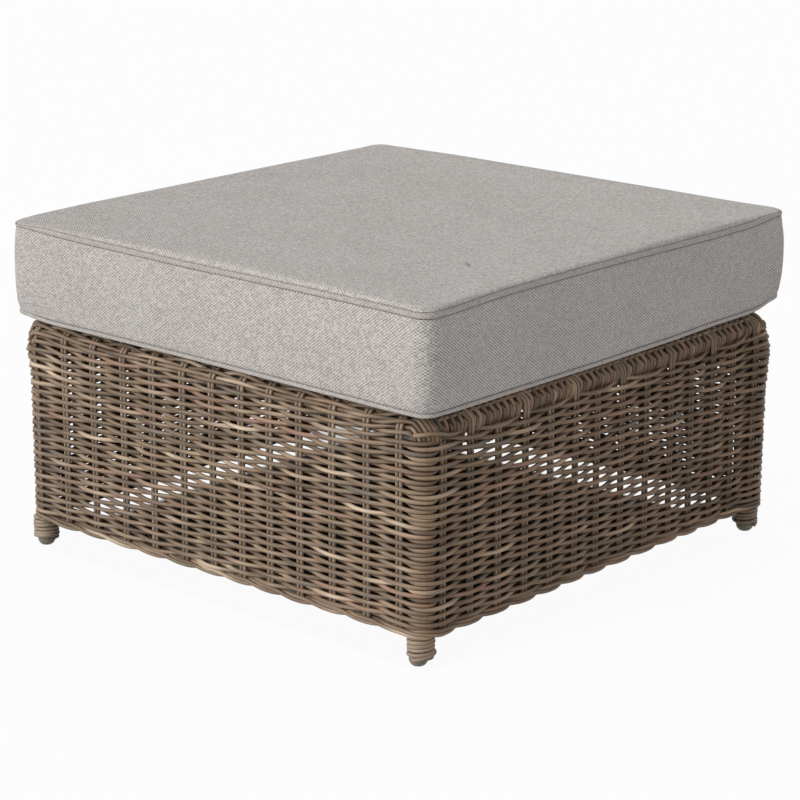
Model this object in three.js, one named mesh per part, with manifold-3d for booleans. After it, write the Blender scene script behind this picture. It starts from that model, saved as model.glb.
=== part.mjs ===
// Outdoor ottoman footstool: a woven base on an aluminium tube frame, with a loose box cushion.
// Millimetres, +Z up. The origin is on the floor under the centre, and the front is towards -Y.
import * as THREE from 'three';
import { mergeVertices } from 'three/addons/utils/BufferGeometryUtils.js';
import Module from 'manifold-3d';

const wasm = await Module();
wasm.setup();

// Gaps shared by every piece
const clearance = 0.3;
const cutOverrun = 20;

// Woven base, measured over the strands
const baseWidth = 738;
const baseTop = 326;
const wallFoot = 39;
const cornerRadius = 32;
const strand = 5;
const weaveThickness = 12;
const postSkin = 5.8;
const firstRow = 51.5;
const rowPitch = 5.467;
const reliefDepth = 7;
const cornerRelief = 1.5;
const borderHeight = 11;
const ribPitch = 10.9;
const ribDepth = 2.5;

// Tube frame
const tubeWall = 1.5;
const postDiameter = 25;
const railDiameter = 25;
const lowerRailDiameter = 20;
const lowerRailHeight = 52;
const barDiameter = 18;
const barCount = 3;
const tubeSides = 16;
const boreSides = 8;

// Feet
const glideRadius = 12;
const glideHeight = 9.5;
const glideFlat = 6.5;
const glideDome = 7;
const shankLength = 16;
const windingPitch = 5.5;
const windingSides = 6;
const windingSteps = 12;
const domeSteps = 3;

// Cushion
const cushionOverhang = 6;
const cushionTopSeam = 458.5;
const cushionCorner = 20;
const edgeRise = 1.7;
const crownRise = 4.5;
const sideBulge = 3;
const drawIn = 5;
const coverThickness = 2.2;
const foamGap = 0.5;
const weltWidth = 7;
const weltThickness = 2;

// Zip in the back boxing
const zipLength = 500;
const zipSlot = 8;
const tapeThickness = 1.7;
const tapeInset = 0.4;
const coilWidth = 3;
const coilHeight = 1;
const sliderLength = 11;
const sliderWidth = 7;
const sliderPlate = 1.2;
const sliderEndGap = 4.5;
const archLength = 7;
const archWidth = 2;
const archGap = 2;
const archWall = 0.8;
const pullLength = 26;
const pullWidth = 6.4;
const pullWall = 1.2;
const pullTip = 2;
const eyeLength = 5;
const eyeWidth = 3.2;

// Places worked out from the sizes above
const postRadius = postDiameter / 2;
const railRadius = railDiameter / 2;
const rimInner = railRadius + clearance;
const rimRadius = rimInner + weaveThickness;
const rimHeight = baseTop - rimRadius;
const wallInner = baseWidth / 2 - weaveThickness;
const cornerCentre = baseWidth / 2 - cornerRadius;
const railCentre = wallInner - clearance - railRadius;
const postOffset = cornerRadius - postSkin - clearance - postRadius;
const postCentre = cornerCentre + postOffset * Math.SQRT1_2;
const postFoot = glideHeight + clearance;
const deckHalf = baseWidth / 2 - rimRadius;
const deckUnderside = baseTop - weaveThickness;
const cushionWidth = baseWidth + 2 * cushionOverhang;
const cushionFloor = baseTop + clearance;
const boxingFoot = cushionFloor + edgeRise;
const zipPlane = cushionWidth / 2 + sideBulge - drawIn;
const sideNames = ['front', 'right', 'back', 'left'];
const cornerNames = ['front_right', 'back_right', 'back_left', 'front_left'];

const unitX = new THREE.Vector3(1, 0, 0);
const unitY = new THREE.Vector3(0, 1, 0);
const unitZ = new THREE.Vector3(0, 0, 1);
const alongX = new THREE.Matrix4().makeBasis(unitY, unitZ, unitX);

const frameFinish = new THREE.MeshStandardMaterial({ color: 0x4a3f35, roughness: 0.5, metalness: 0.6 });
const rattanFinish = new THREE.MeshStandardMaterial({ color: 0x8a7562, roughness: 0.62, metalness: 0 });
const deckFinish = new THREE.MeshStandardMaterial({ color: 0x7a6756, roughness: 0.65, metalness: 0 });
const glideFinish = new THREE.MeshStandardMaterial({ color: 0x5a5138, roughness: 0.45, metalness: 0 });
const fabricFinish = new THREE.MeshStandardMaterial({ color: 0xa59f9a, roughness: 0.95, metalness: 0 });
const weltFinish = new THREE.MeshStandardMaterial({ color: 0x9a948f, roughness: 0.95, metalness: 0 });
const foamFinish = new THREE.MeshStandardMaterial({ color: 0xe9e3cf, roughness: 1, metalness: 0 });
const zipFinish = new THREE.MeshStandardMaterial({ color: 0x8d8984, roughness: 0.8, metalness: 0 });
const sliderFinish = new THREE.MeshStandardMaterial({ color: 0x77736c, roughness: 0.35, metalness: 0.9 });

const ottoman = new THREE.Group();

function addPiece(name, geometry, finish, turn = 0) {
  geometry.computeVertexNormals();
  const mesh = new THREE.Mesh(geometry, finish);
  mesh.name = name;
  mesh.rotation.z = turn;
  ottoman.add(mesh);
  return mesh;
}

function meshFrom(positions, triangles) {
  const geometry = new THREE.BufferGeometry();
  geometry.setAttribute('position', new THREE.BufferAttribute(new Float32Array(positions), 3));
  geometry.setIndex(triangles);
  return geometry;
}

// Shared corners joined, no flat triangles, faces turned out
function tidy(geometry) {
  const bare = geometry.clone();
  bare.deleteAttribute('normal');
  bare.deleteAttribute('uv');
  const merged = mergeVertices(bare);
  const index = Array.from(merged.index.array);
  const at = (i) => new THREE.Vector3().fromBufferAttribute(merged.attributes.position, i);
  const kept = [];
  let volume = 0;
  for (let i = 0; i < index.length; i += 3) {
    const [a, b, c] = index.slice(i, i + 3);
    if (a === b || b === c || c === a) continue;
    kept.push(a, b, c);
    volume += at(a).dot(at(b).cross(at(c)));
  }
  if (volume < 0) kept.reverse();
  return meshFrom(merged.attributes.position.array, kept);
}

function toSolid(geometry) {
  const clean = tidy(geometry);
  const vertProperties = new Float32Array(clean.attributes.position.array);
  const triVerts = new Uint32Array(clean.index.array);
  return new wasm.Manifold(new wasm.Mesh({ numProp: 3, vertProperties, triVerts }));
}

function toGeometry(solid) {
  const { vertProperties, triVerts } = solid.getMesh();
  return meshFrom(vertProperties, Array.from(triVerts));
}

function cut(geometry, ...tools) {
  let solid = toSolid(geometry);
  for (const tool of tools) solid = solid.subtract(toSolid(tool));
  return toGeometry(solid);
}

function overlapOf(geometry, other) {
  return toGeometry(toSolid(geometry).intersect(toSolid(other)));
}

function ringPoints(radius, sides) {
  return Array.from({ length: sides }, (_, i) => {
    const angle = (i / sides) * 2 * Math.PI;
    return new THREE.Vector2(radius * Math.cos(angle), radius * Math.sin(angle));
  });
}

// A straight tube centred on the origin, along X
function tubeAlongX(radius, length) {
  const outline = new THREE.Shape(ringPoints(radius, tubeSides));
  outline.holes.push(new THREE.Path(ringPoints(radius - tubeWall, boreSides)));
  const tube = new THREE.ExtrudeGeometry(outline, { depth: length, bevelEnabled: false });
  return tube.translate(0, 0, -length / 2).applyMatrix4(alongX);
}

function revolve(profile) {
  const points = profile.map(([r, z]) => new THREE.Vector2(r, z));
  return new THREE.LatheGeometry(points, tubeSides).rotateX(Math.PI / 2);
}

function domeProfile(radius, height) {
  return Array.from({ length: domeSteps + 1 }, (_, i) => {
    const angle = (i / domeSteps) * (Math.PI / 2);
    return [i === domeSteps ? 0 : radius * Math.cos(angle), height + radius * Math.sin(angle)];
  });
}

// The outside of a corner post, grown by a gap, to cut what fits round it
function postOutside(gap) {
  const radius = postRadius + gap;
  const foot = postFoot - gap;
  return revolve([[0, foot], [radius, foot], ...domeProfile(radius, rimHeight)]);
}

function atCorner(geometry, signX) {
  return geometry.translate(signX * postCentre, -postCentre, 0);
}

function cornerPost() {
  const bore = postRadius - tubeWall;
  const inside = [[0, rimHeight], [bore, rimHeight], [bore, postFoot]];
  const outside = [[postRadius, postFoot], ...domeProfile(postRadius, rimHeight)];
  return tidy(revolve([...inside, ...outside]));
}

// Upright cylinder that copes a rail's end to the post
function copeCutter(signX) {
  const radius = postRadius + clearance;
  const cutter = new THREE.CylinderGeometry(radius, radius, baseTop + cutOverrun, tubeSides);
  return atCorner(cutter.rotateX(Math.PI / 2).translate(0, 0, baseTop / 2), signX);
}

// Block whose near face lies half a gap inside the corner's 45 degree plane
function mitreCutter(signX) {
  const size = 4 * cutOverrun;
  const block = new THREE.BoxGeometry(size, size, 2 * baseTop);
  block.translate(size / 2 - clearance / 2, 0, baseTop / 2);
  block.rotateZ(signX > 0 ? Math.PI / 4 : Math.PI - Math.PI / 4);
  return atCorner(block, signX);
}

// Front rail, mitred at both corners and coped to both posts, short of the weave's rounded corners
function frontRail(radius, inset, height) {
  const blank = tubeAlongX(radius, 2 * cornerCentre).translate(0, -inset, height);
  return cut(blank, mitreCutter(1), mitreCutter(-1), copeCutter(1), copeCutter(-1));
}

function seatBar(place) {
  const radius = barDiameter / 2;
  const height = deckUnderside - clearance - radius;
  const blank = tubeAlongX(radius, 2 * railCentre).rotateZ(Math.PI / 2).translate(place, 0, height);
  const railCutter = (side) => {
    const grown = railRadius + clearance;
    const cutter = new THREE.CylinderGeometry(grown, grown, baseWidth, tubeSides);
    return cutter.rotateZ(Math.PI / 2).translate(0, side * railCentre, rimHeight);
  };
  return cut(blank, railCutter(1), railCutter(-1));
}

function addFrame() {
  const lowerInset = wallInner - clearance - lowerRailDiameter / 2;
  sideNames.forEach((side, i) => {
    const turn = (i * Math.PI) / 2;
    addPiece(`top_rail_${side}`, frontRail(railRadius, railCentre, rimHeight), frameFinish, turn);
    const lower = frontRail(lowerRailDiameter / 2, lowerInset, lowerRailHeight);
    addPiece(`lower_rail_${side}`, lower, frameFinish, turn);
    const post = atCorner(cornerPost(), 1);
    addPiece(`post_${cornerNames[i]}`, post, frameFinish, turn);
  });
  const barSpacing = (2 * railCentre) / (barCount + 1);
  for (let i = 0; i < barCount; i++) {
    const place = (i + 1) * barSpacing - railCentre;
    addPiece(`seat_bar_${i + 1}`, seatBar(place), frameFinish);
  }
}

// Plastic glide: a dome that stands on its flat, and a shank inside the post
function footGlide() {
  const shank = postRadius - tubeWall - clearance;
  const steps = 3;
  const dome = Array.from({ length: steps + 1 }, (_, i) => {
    const angle = (i / steps) * (Math.PI / 2);
    const radius = glideFlat + (glideRadius - glideFlat) * Math.sin(angle);
    return [radius, glideDome * (1 - Math.cos(angle))];
  });
  const rest = [[glideRadius, glideHeight], [shank, glideHeight]];
  const end = glideHeight + shankLength;
  return tidy(revolve([[0, 0], ...dome, ...rest, [shank, end], [0, end]]));
}

// One strand wound up the leg, with a straight lead of one diameter at each end
class LegWinding extends THREE.Curve {
  constructor(radius, low, high) {
    super();
    this.radius = radius;
    this.low = low;
    this.turns = (high - low) / windingPitch;
    this.turnLength = Math.hypot(2 * Math.PI * radius, windingPitch);
    this.wound = this.turns * this.turnLength;
  }

  onHelix(share) {
    const angle = share * this.turns * 2 * Math.PI;
    const height = this.low + share * this.turns * windingPitch;
    return new THREE.Vector3(this.radius * Math.cos(angle), this.radius * Math.sin(angle), height);
  }

  direction(share) {
    const angle = share * this.turns * 2 * Math.PI;
    const run = 2 * Math.PI * this.radius;
    return new THREE.Vector3(-run * Math.sin(angle), run * Math.cos(angle), windingPitch).normalize();
  }

  getPoint(t) {
    const along = t * (this.wound + 2 * strand) - strand;
    const share = Math.min(Math.max(along / this.wound, 0), 1);
    const beyond = along - share * this.wound;
    return this.onHelix(share).addScaledVector(this.direction(share), beyond);
  }
}

function legWinding() {
  // Wide enough for the strand's flats between steps to clear the post
  const radius = (postRadius + clearance + strand / 2) / Math.cos(Math.PI / windingSteps);
  const low = postFoot + strand / 2;
  const high = wallFoot - clearance - strand / 2;
  const path = new LegWinding(radius, low, high);
  const section = new THREE.Shape(ringPoints(strand / 2, windingSides));
  const steps = Math.round((path.turns + (2 * strand) / path.turnLength) * windingSteps);
  return { path, geometry: tidy(new THREE.ExtrudeGeometry(section, { steps, extrudePath: path })) };
}

// Least gap between one turn and the next, measured on the winding's centre line
function leastSelfGap(path) {
  const count = 400;
  const points = path.getSpacedPoints(count);
  const step = path.getLength() / count;
  const far = path.turnLength / 2;
  let least = Infinity;
  points.forEach((point, i) => {
    for (let j = i + 1; j <= count; j++) {
      if ((j - i) * step > far) least = Math.min(least, point.distanceTo(points[j]) - strand);
    }
  });
  return least;
}

function addFeet() {
  const winding = legWinding();
  cornerNames.forEach((corner, i) => {
    const turn = (i * Math.PI) / 2;
    addPiece(`foot_glide_${corner}`, atCorner(footGlide(), 1), glideFinish, turn);
    addPiece(`leg_winding_${corner}`, atCorner(winding.geometry.clone(), 1), rattanFinish, turn);
  });
  console.log(`leg winding: least gap to itself ${leastSelfGap(winding.path).toFixed(2)} mm`);
}

// Triangles between two edges that run the same way with different numbers of points.
// Each edge is a list of point numbers with their marks, the distances along the outline.
function stitch(triangles, edgeA, edgeB) {
  let a = 0;
  let b = 0;
  const lastA = edgeA.ids.length - 1;
  const lastB = edgeB.ids.length - 1;
  const way = Math.sign(edgeA.marks[lastA] - edgeA.marks[0]);
  while (a < lastA || b < lastB) {
    const ahead = a < lastA && b < lastB ? (edgeB.marks[b + 1] - edgeA.marks[a + 1]) * way : 0;
    if (b === lastB || (a < lastA && ahead >= 0)) {
      triangles.push(edgeA.ids[a], edgeB.ids[b], edgeA.ids[a + 1]);
      a++;
    } else {
      triangles.push(edgeA.ids[a], edgeB.ids[b], edgeB.ids[b + 1]);
      b++;
    }
  }
}

// The four edges of a grid, in turn round it
function edgesOf(ids, columns, rows) {
  const columnMarks = columns.map((column) => column.x + column.angle * cornerRadius);
  const rowMarks = rows.map((row) => row.z + row.tilt * rimRadius);
  const last = columns.length - 1;
  const bottom = { ids: ids[0], marks: columnMarks };
  const right = { ids: ids.map((row) => row[last]), marks: rowMarks };
  const top = { ids: [...ids[rows.length - 1]].reverse(), marks: [...columnMarks].reverse() };
  const left = { ids: ids.map((row) => row[0]).reverse(), marks: [...rowMarks].reverse() };
  return [bottom, right, top, left];
}

// A closed sheet between an outer grid of points and a coarser inner one.
// Each quad is split between its low corners, so a raised point stands as a long lens.
function closedSheet(outer, inner) {
  const positions = [];
  const number = (grid) => grid.map((row) => row.map((point) => positions.push(...point) / 3 - 1));
  const outerIds = number(outer.points);
  const innerIds = number(inner.points);
  const triangles = [];
  const fill = (ids, depths, push) => {
    for (let r = 0; r + 1 < ids.length; r++) {
      for (let c = 0; c + 1 < ids[r].length; c++) {
        const quad = [ids[r][c], ids[r][c + 1], ids[r + 1][c + 1], ids[r + 1][c]];
        const rising = depths[r][c] + depths[r + 1][c + 1] >= depths[r][c + 1] + depths[r + 1][c];
        const [p, q, s, t] = rising ? quad : [...quad.slice(1), quad[0]];
        push(p, q, s);
        push(p, s, t);
      }
    }
  };
  fill(outerIds, outer.depths, (a, b, c) => triangles.push(a, b, c));
  fill(innerIds, inner.depths, (a, b, c) => triangles.push(c, b, a));
  const outerEdges = edgesOf(outerIds, outer.columns, outer.rows);
  edgesOf(innerIds, inner.columns, inner.rows).forEach((edge, i) => stitch(triangles, outerEdges[i], edge));
  return tidy(meshFrom(positions, triangles));
}

// Upright columns of the front side, from one corner's 45 degree plane to the other's
function columnsAt(places) {
  const half = clearance / 2;
  const corner = (sign, angle, gap) => ({
    x: sign * (cornerCentre - gap * Math.SQRT1_2),
    y: -cornerCentre - gap * Math.SQRT1_2,
    angle: sign * angle,
  });
  const turn = Math.PI / 4;
  return [
    corner(-1, turn, half),
    corner(-1, turn / 2, 0),
    ...places.map((x) => ({ x, y: -cornerCentre, angle: 0 })),
    corner(1, turn / 2, 0),
    corner(1, turn, half),
  ];
}

// Rows up the wall, and over the rim to the deck's edge
const wallRow = (z) => ({ out: cornerRadius, z, tilt: 0 });
const rimRow = (tilt) => ({
  out: cornerRadius - rimRadius + rimRadius * Math.cos(tilt),
  z: rimHeight + rimRadius * Math.sin(tilt),
  tilt,
});
const rimStart = Math.asin(clearance / 2 / rimRadius);
const rimEnd = Math.acos(clearance / 2 / rimRadius);

function evenSteps(from, to, count) {
  return Array.from({ length: count + 1 }, (_, i) => from + ((to - from) * i) / count);
}

function surfacePoint(column, row, depth) {
  const out = row.out - depth * Math.cos(row.tilt);
  const z = row.z - depth * Math.sin(row.tilt);
  return [column.x + out * Math.sin(column.angle), column.y - out * Math.cos(column.angle), z];
}

function grid(columns, rows, depthAt) {
  const depths = rows.map((row, r) => columns.map((column, c) => depthAt(column, row, c, r)));
  const points = rows.map((row, r) => columns.map((column, c) => surfacePoint(column, row, depths[r][c])));
  return { columns, rows, points, depths };
}

function innerGrid(rows) {
  const columns = columnsAt([-cornerCentre, cornerCentre]);
  return grid(columns, rows, () => weaveThickness);
}

// Stake pairs along the front and the right side, as shares of half the straight length
const frontStakeShares = [
  -1, -0.852, -0.684, -0.509, -0.343, -0.174, -0.014, 0.143, 0.292, 0.447, 0.613, 0.785, 1,
];
const rightStakeShares = [
  -1, -0.825, -0.664, -0.505, -0.354, -0.202, -0.068, 0.089, 0.25, 0.411, 0.548, 0.694, 0.836, 1,
];
// The back's and the left side's stand across from those, and each side counts on from the one before
const acrossFrom = (shares) => shares.map((share) => -share).reverse();
const stakeShares = [
  frontStakeShares, rightStakeShares, acrossFrom(frontStakeShares), acrossFrom(rightStakeShares),
];
const firstStakes = [0, 1, 2, 3].map((side) => stakeShares.slice(0, side).flat().length);

// Over one stake pair and behind the next, the rows taking turns as they run round the corners
function weaveDepth(firstStake) {
  return (column, row, c, r) => {
    if (row.z < wallFoot + borderHeight) return 0;
    if (column.angle !== 0) return r % 2 ? 0 : cornerRelief;
    return (firstStake + c + r) % 2 ? reliefDepth : 0;
  };
}

function aroundPosts(sheet) {
  return cut(sheet, atCorner(postOutside(clearance), 1), atCorner(postOutside(clearance), -1));
}

function weaveFace(side, rows) {
  const columns = columnsAt(stakeShares[side].map((share) => share * cornerCentre));
  return grid(columns, rows, weaveDepth(firstStakes[side]));
}

// The border's two lines, one line to each row, and the wall's top
function wovenWall(side) {
  const top = rimHeight - clearance / 2;
  const rowSteps = Math.floor((top - firstRow) / rowPitch);
  const woven = evenSteps(firstRow, firstRow + rowSteps * rowPitch, rowSteps);
  const outerRows = [wallFoot, (wallFoot + firstRow) / 2, ...woven, top].map(wallRow);
  const innerRows = [wallFoot, top].map(wallRow);
  return aroundPosts(closedSheet(weaveFace(side, outerRows), innerGrid(innerRows)));
}

// The wall's rows run on over the front and back rails
function wovenRim(side) {
  const count = Math.round((rimRadius * Math.PI) / 2 / rowPitch);
  const outerRows = evenSteps(rimStart, rimEnd, count).map(rimRow);
  const innerRows = evenSteps(rimStart, rimEnd, tubeSides / 4).map(rimRow);
  return aroundPosts(closedSheet(weaveFace(side, outerRows), innerGrid(innerRows)));
}

// The deck's strands bent down over a side rail: one rib for each pair of strands
function rimWrap() {
  const ribs = Math.round((2 * cornerCentre) / ribPitch);
  const columns = columnsAt(evenSteps(-cornerCentre, cornerCentre, 2 * ribs));
  const groove = (column, row, c) => (column.angle === 0 && c % 2 ? ribDepth : 0);
  const outerRows = evenSteps(rimStart, rimEnd, 3).map(rimRow);
  const innerRows = evenSteps(rimStart, rimEnd, tubeSides / 4).map(rimRow);
  return aroundPosts(closedSheet(grid(columns, outerRows, groove), innerGrid(innerRows)));
}

function roundedSquare(half, radius, steps) {
  const outline = [];
  for (let corner = 0; corner < 4; corner++) {
    const centre = new THREE.Vector2(half - radius, half - radius);
    for (let i = 0; i <= steps; i++) {
      const angle = (i / steps) * (Math.PI / 2);
      const point = new THREE.Vector2(radius * Math.cos(angle), radius * Math.sin(angle)).add(centre);
      outline.push(point.rotateAround(new THREE.Vector2(), (corner * Math.PI) / 2));
    }
  }
  return outline;
}

// Woven deck, ribbed along X, inside the four rims
function seatDeck() {
  const half = deckHalf - clearance / 2;
  const ribs = Math.round((2 * half) / ribPitch);
  const top = evenSteps(-half, half, 2 * ribs).map((y, i) => {
    return new THREE.Vector2(y, i % 2 ? baseTop - ribDepth : baseTop);
  });
  const underside = [new THREE.Vector2(half, deckUnderside), new THREE.Vector2(-half, deckUnderside)];
  const profile = new THREE.Shape([...underside, ...top]);
  const ribbed = new THREE.ExtrudeGeometry(profile, { depth: 2 * half, bevelEnabled: false });
  ribbed.translate(0, 0, -half).applyMatrix4(alongX);
  const outline = new THREE.Shape(roundedSquare(half, cornerRadius - rimRadius - clearance / 2, 2));
  const column = new THREE.ExtrudeGeometry(outline, { depth: 2 * baseTop, bevelEnabled: false });
  return overlapOf(ribbed, column);
}

function addWeave() {
  sideNames.forEach((side, i) => {
    const turn = (i * Math.PI) / 2;
    const rowsRunOn = i % 2 === 0;
    addPiece(`woven_wall_${side}`, wovenWall(i), rattanFinish, turn);
    if (rowsRunOn) addPiece(`woven_rim_${side}`, wovenRim(i), rattanFinish, turn);
    else addPiece(`rim_wrap_${side}`, rimWrap(), rattanFinish, turn);
  });
  addPiece('seat_deck', seatDeck(), deckFinish);
}

// Places along a cushion side as shares of its straight half, with the share of draw-in there
const fineSideShares = [[-1, 0], [-0.88, 0.5], [-0.76, 1], [-0.25, 1], [0.25, 1], [0.76, 1], [0.88, 0.5]];
const coarseSideShares = [[-1, 0], [-0.76, 1], [0.76, 1]];

// One ring round the cushion: out is measured from the seam line, scale draws the ring to the centre
function cushionRing(ring, sideShares, cornerSteps) {
  const { out, z, scale = 1 } = ring;
  const straight = cushionWidth / 2 - cushionCorner;
  const points = [];
  for (let side = 0; side < 4; side++) {
    const turn = (side * Math.PI) / 2;
    const add = (x, y) => {
      const point = new THREE.Vector2(x * scale, y * scale).rotateAround(new THREE.Vector2(), turn);
      points.push([point.x, point.y, z]);
    };
    for (const [place, drawn] of sideShares) {
      add(place * straight, drawn * drawIn - cushionWidth / 2 - out);
    }
    for (let i = 0; i < cornerSteps; i++) {
      const angle = (i / cornerSteps) * (Math.PI / 2);
      const radius = cushionCorner + out;
      add(straight + radius * Math.sin(angle), -straight - radius * Math.cos(angle));
    }
  }
  return points;
}

// Rings of equal counts skinned from a bottom centre to a top centre
function loft(rings, bottom, top) {
  const count = rings[0].length;
  const positions = [...rings.flat(2), ...bottom, ...top];
  const bottomId = rings.length * count;
  const topId = bottomId + 1;
  const triangles = [];
  const lastStart = (rings.length - 1) * count;
  for (let i = 0; i < count; i++) {
    const next = (i + 1) % count;
    triangles.push(bottomId, next, i, topId, lastStart + i, lastStart + next);
    for (let r = 0; r + 1 < rings.length; r++) {
      const low = r * count;
      const high = low + count;
      triangles.push(low + i, low + next, high + next, low + i, high + next, high + i);
    }
  }
  return tidy(meshFrom(positions, triangles));
}

const boxingHeight = cushionTopSeam - boxingFoot;
const weltShare = (weltWidth + clearance) / boxingHeight;
// Up the boxing: share of its height, and share of the bulge
const boxingShares = [
  [0, 0], [weltShare, 0], [0.22, 0.75], [0.43, 1], [0.59, 1], [0.8, 0.75], [1 - weltShare, 0], [1, 0],
];
const innerBoxingShares = [[weltShare, 0], [0.22, 0.75], [0.8, 0.75], [1 - weltShare, 0]];
// Over the crown: how far out the ring still is, and share of the rise there
const crownShares = [[0.992, 0.42], [0.965, 0.7], [0.9, 0.88], [0.72, 0.97], [0.35, 1]];
const innerCrownShares = [[0.965, 0.7], [0.72, 0.97]];
const floorShare = 0.99;

function boxingRings(shares, inset) {
  return shares.map(([height, bulge]) => ({
    out: bulge * sideBulge - inset,
    z: boxingFoot + height * boxingHeight,
  }));
}

function crownRings(shares, inset) {
  return shares.map(([scale, rise]) => ({
    out: -inset,
    scale,
    z: cushionTopSeam + rise * crownRise - inset,
  }));
}

function coverOutside() {
  const floor = { out: 0, scale: floorShare, z: cushionFloor };
  const rings = [floor, ...boxingRings(boxingShares, 0), ...crownRings(crownShares, 0)];
  const lofted = rings.map((ring) => cushionRing(ring, fineSideShares, 3));
  return loft(lofted, [0, 0, cushionFloor], [0, 0, cushionTopSeam + crownRise]);
}

// The space inside the cover, or with a larger inset the foam that fills it
function coverInside(inset) {
  const floor = { out: -inset, scale: floorShare, z: cushionFloor + inset };
  const boxing = boxingRings(innerBoxingShares, inset);
  const rings = [floor, ...boxing, ...crownRings(innerCrownShares, inset)];
  const lofted = rings.map((ring) => cushionRing(ring, coarseSideShares, 2));
  return loft(lofted, [0, 0, floor.z], [0, 0, cushionTopSeam + crownRise - inset]);
}

const zipHeight = boxingFoot + boxingHeight / 2;

function cushionCover() {
  const slot = new THREE.BoxGeometry(zipLength, 2 * cutOverrun, zipSlot).translate(0, zipPlane, zipHeight);
  return cut(coverOutside(), coverInside(coverThickness), slot);
}

// Flat self-fabric welt sewn along one edge of the boxing
function welt(foot) {
  // Share of the welt's thickness and of its width, round the section
  const sectionShares = [[0.7, 0], [1, 0.5], [0.7, 1]];
  const outside = sectionShares.map(([depth, height]) => ({
    out: clearance + depth * weltThickness,
    z: foot + height * weltWidth,
  }));
  const inside = [{ out: clearance, z: foot + weltWidth }, { out: clearance, z: foot }];
  const rings = [...outside, ...inside].map((ring) => cushionRing(ring, fineSideShares, 3));
  const count = rings[0].length;
  const triangles = [];
  for (let r = 0; r < rings.length; r++) {
    const low = r * count;
    const high = ((r + 1) % rings.length) * count;
    for (let i = 0; i < count; i++) {
      const next = (i + 1) % count;
      triangles.push(low + i, low + next, high + next, low + i, high + next, high + i);
    }
  }
  return tidy(meshFrom(rings.flat(2), triangles));
}

function profileAlongX(points, length) {
  const outline = new THREE.Shape(points.map(([y, z]) => new THREE.Vector2(y, z)));
  const bar = new THREE.ExtrudeGeometry(outline, { depth: length, bevelEnabled: false });
  return bar.translate(0, 0, -length / 2).applyMatrix4(alongX);
}

const tapeFace = zipPlane - tapeInset;
const sliderFoot = tapeFace + clearance;
const sliderTop = sliderFoot + coilHeight + sliderPlate;
const sliderPlace = zipLength / 2 - sliderLength / 2 - sliderEndGap;

// Tape that closes the slot, with the coil standing along its middle
function zipTape() {
  const half = zipSlot / 2 - clearance;
  const back = tapeFace - tapeThickness;
  const profile = [
    [back, -half], [tapeFace, -half], [tapeFace, -coilWidth / 2], [tapeFace + coilHeight, -coilWidth / 2],
    [tapeFace + coilHeight, coilWidth / 2], [tapeFace, coilWidth / 2], [tapeFace, half], [back, half],
  ];
  return tidy(profileAlongX(profile, zipLength - 2 * clearance).translate(0, 0, zipHeight));
}

// Slider that straddles the coil, with the arch that holds the pull
function zipSlider() {
  const half = sliderWidth / 2;
  const channel = coilWidth / 2 + clearance;
  const roof = sliderFoot + coilHeight;
  const profile = [
    [sliderFoot, -half], [sliderTop, -half], [sliderTop, half], [sliderFoot, half],
    [sliderFoot, channel], [roof, channel], [roof, -channel], [sliderFoot, -channel],
  ];
  const body = profileAlongX(profile, sliderLength);
  const archHeight = archGap + archWall;
  const sunk = sliderPlate / 2;
  const arch = new THREE.BoxGeometry(archLength, archHeight + sunk, archWidth);
  arch.translate(0, sliderTop + (archHeight - sunk) / 2, 0);
  const gap = new THREE.BoxGeometry(archLength - 2 * archWall, archGap, archWidth + cutOverrun);
  gap.translate(0, sliderTop + archGap / 2, 0);
  const hoop = toSolid(arch).subtract(toSolid(gap));
  return toGeometry(toSolid(body).add(hoop)).translate(sliderPlace, 0, zipHeight);
}

// Flat pull with an eye: its end bar lies under the arch and turns there
function zipPull() {
  const bar = pullWall / 2;
  const half = pullWidth / 2;
  const neck = pullTip - pullLength;
  const tip = half - pullTip;
  const end = -pullLength;
  const corners = [[bar, -half], [bar, half], [neck, half], [end, tip], [end, -tip], [neck, -half]];
  const outline = new THREE.Shape(corners.map(([x, z]) => new THREE.Vector2(x, z)));
  const eye = eyeWidth / 2;
  const far = -bar - eyeLength;
  const hole = [[-bar, -eye], [far, -eye], [far, eye], [-bar, eye]];
  outline.holes.push(new THREE.Path(hole.map(([x, z]) => new THREE.Vector2(x, z))));
  const plate = new THREE.ExtrudeGeometry(outline, { depth: pullWall, bevelEnabled: false });
  plate.translate(0, 0, -pullWall / 2).rotateX(-Math.PI / 2);
  return tidy(plate.translate(sliderPlace, sliderTop + archGap / 2, zipHeight));
}

function addCushion() {
  addPiece('cushion_cover', cushionCover(), fabricFinish);
  addPiece('foam_core', coverInside(coverThickness + foamGap), foamFinish);
  addPiece('welt_bottom', welt(boxingFoot), weltFinish);
  addPiece('welt_top', welt(cushionTopSeam - weltWidth), weltFinish);
  addPiece('zip_tape', zipTape(), zipFinish);
  addPiece('zip_slider', zipSlider(), sliderFinish);
  addPiece('zip_pull', zipPull(), sliderFinish);
}

addFrame();
addFeet();
addWeave();
addCushion();

export default ottoman;
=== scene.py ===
import math

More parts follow.
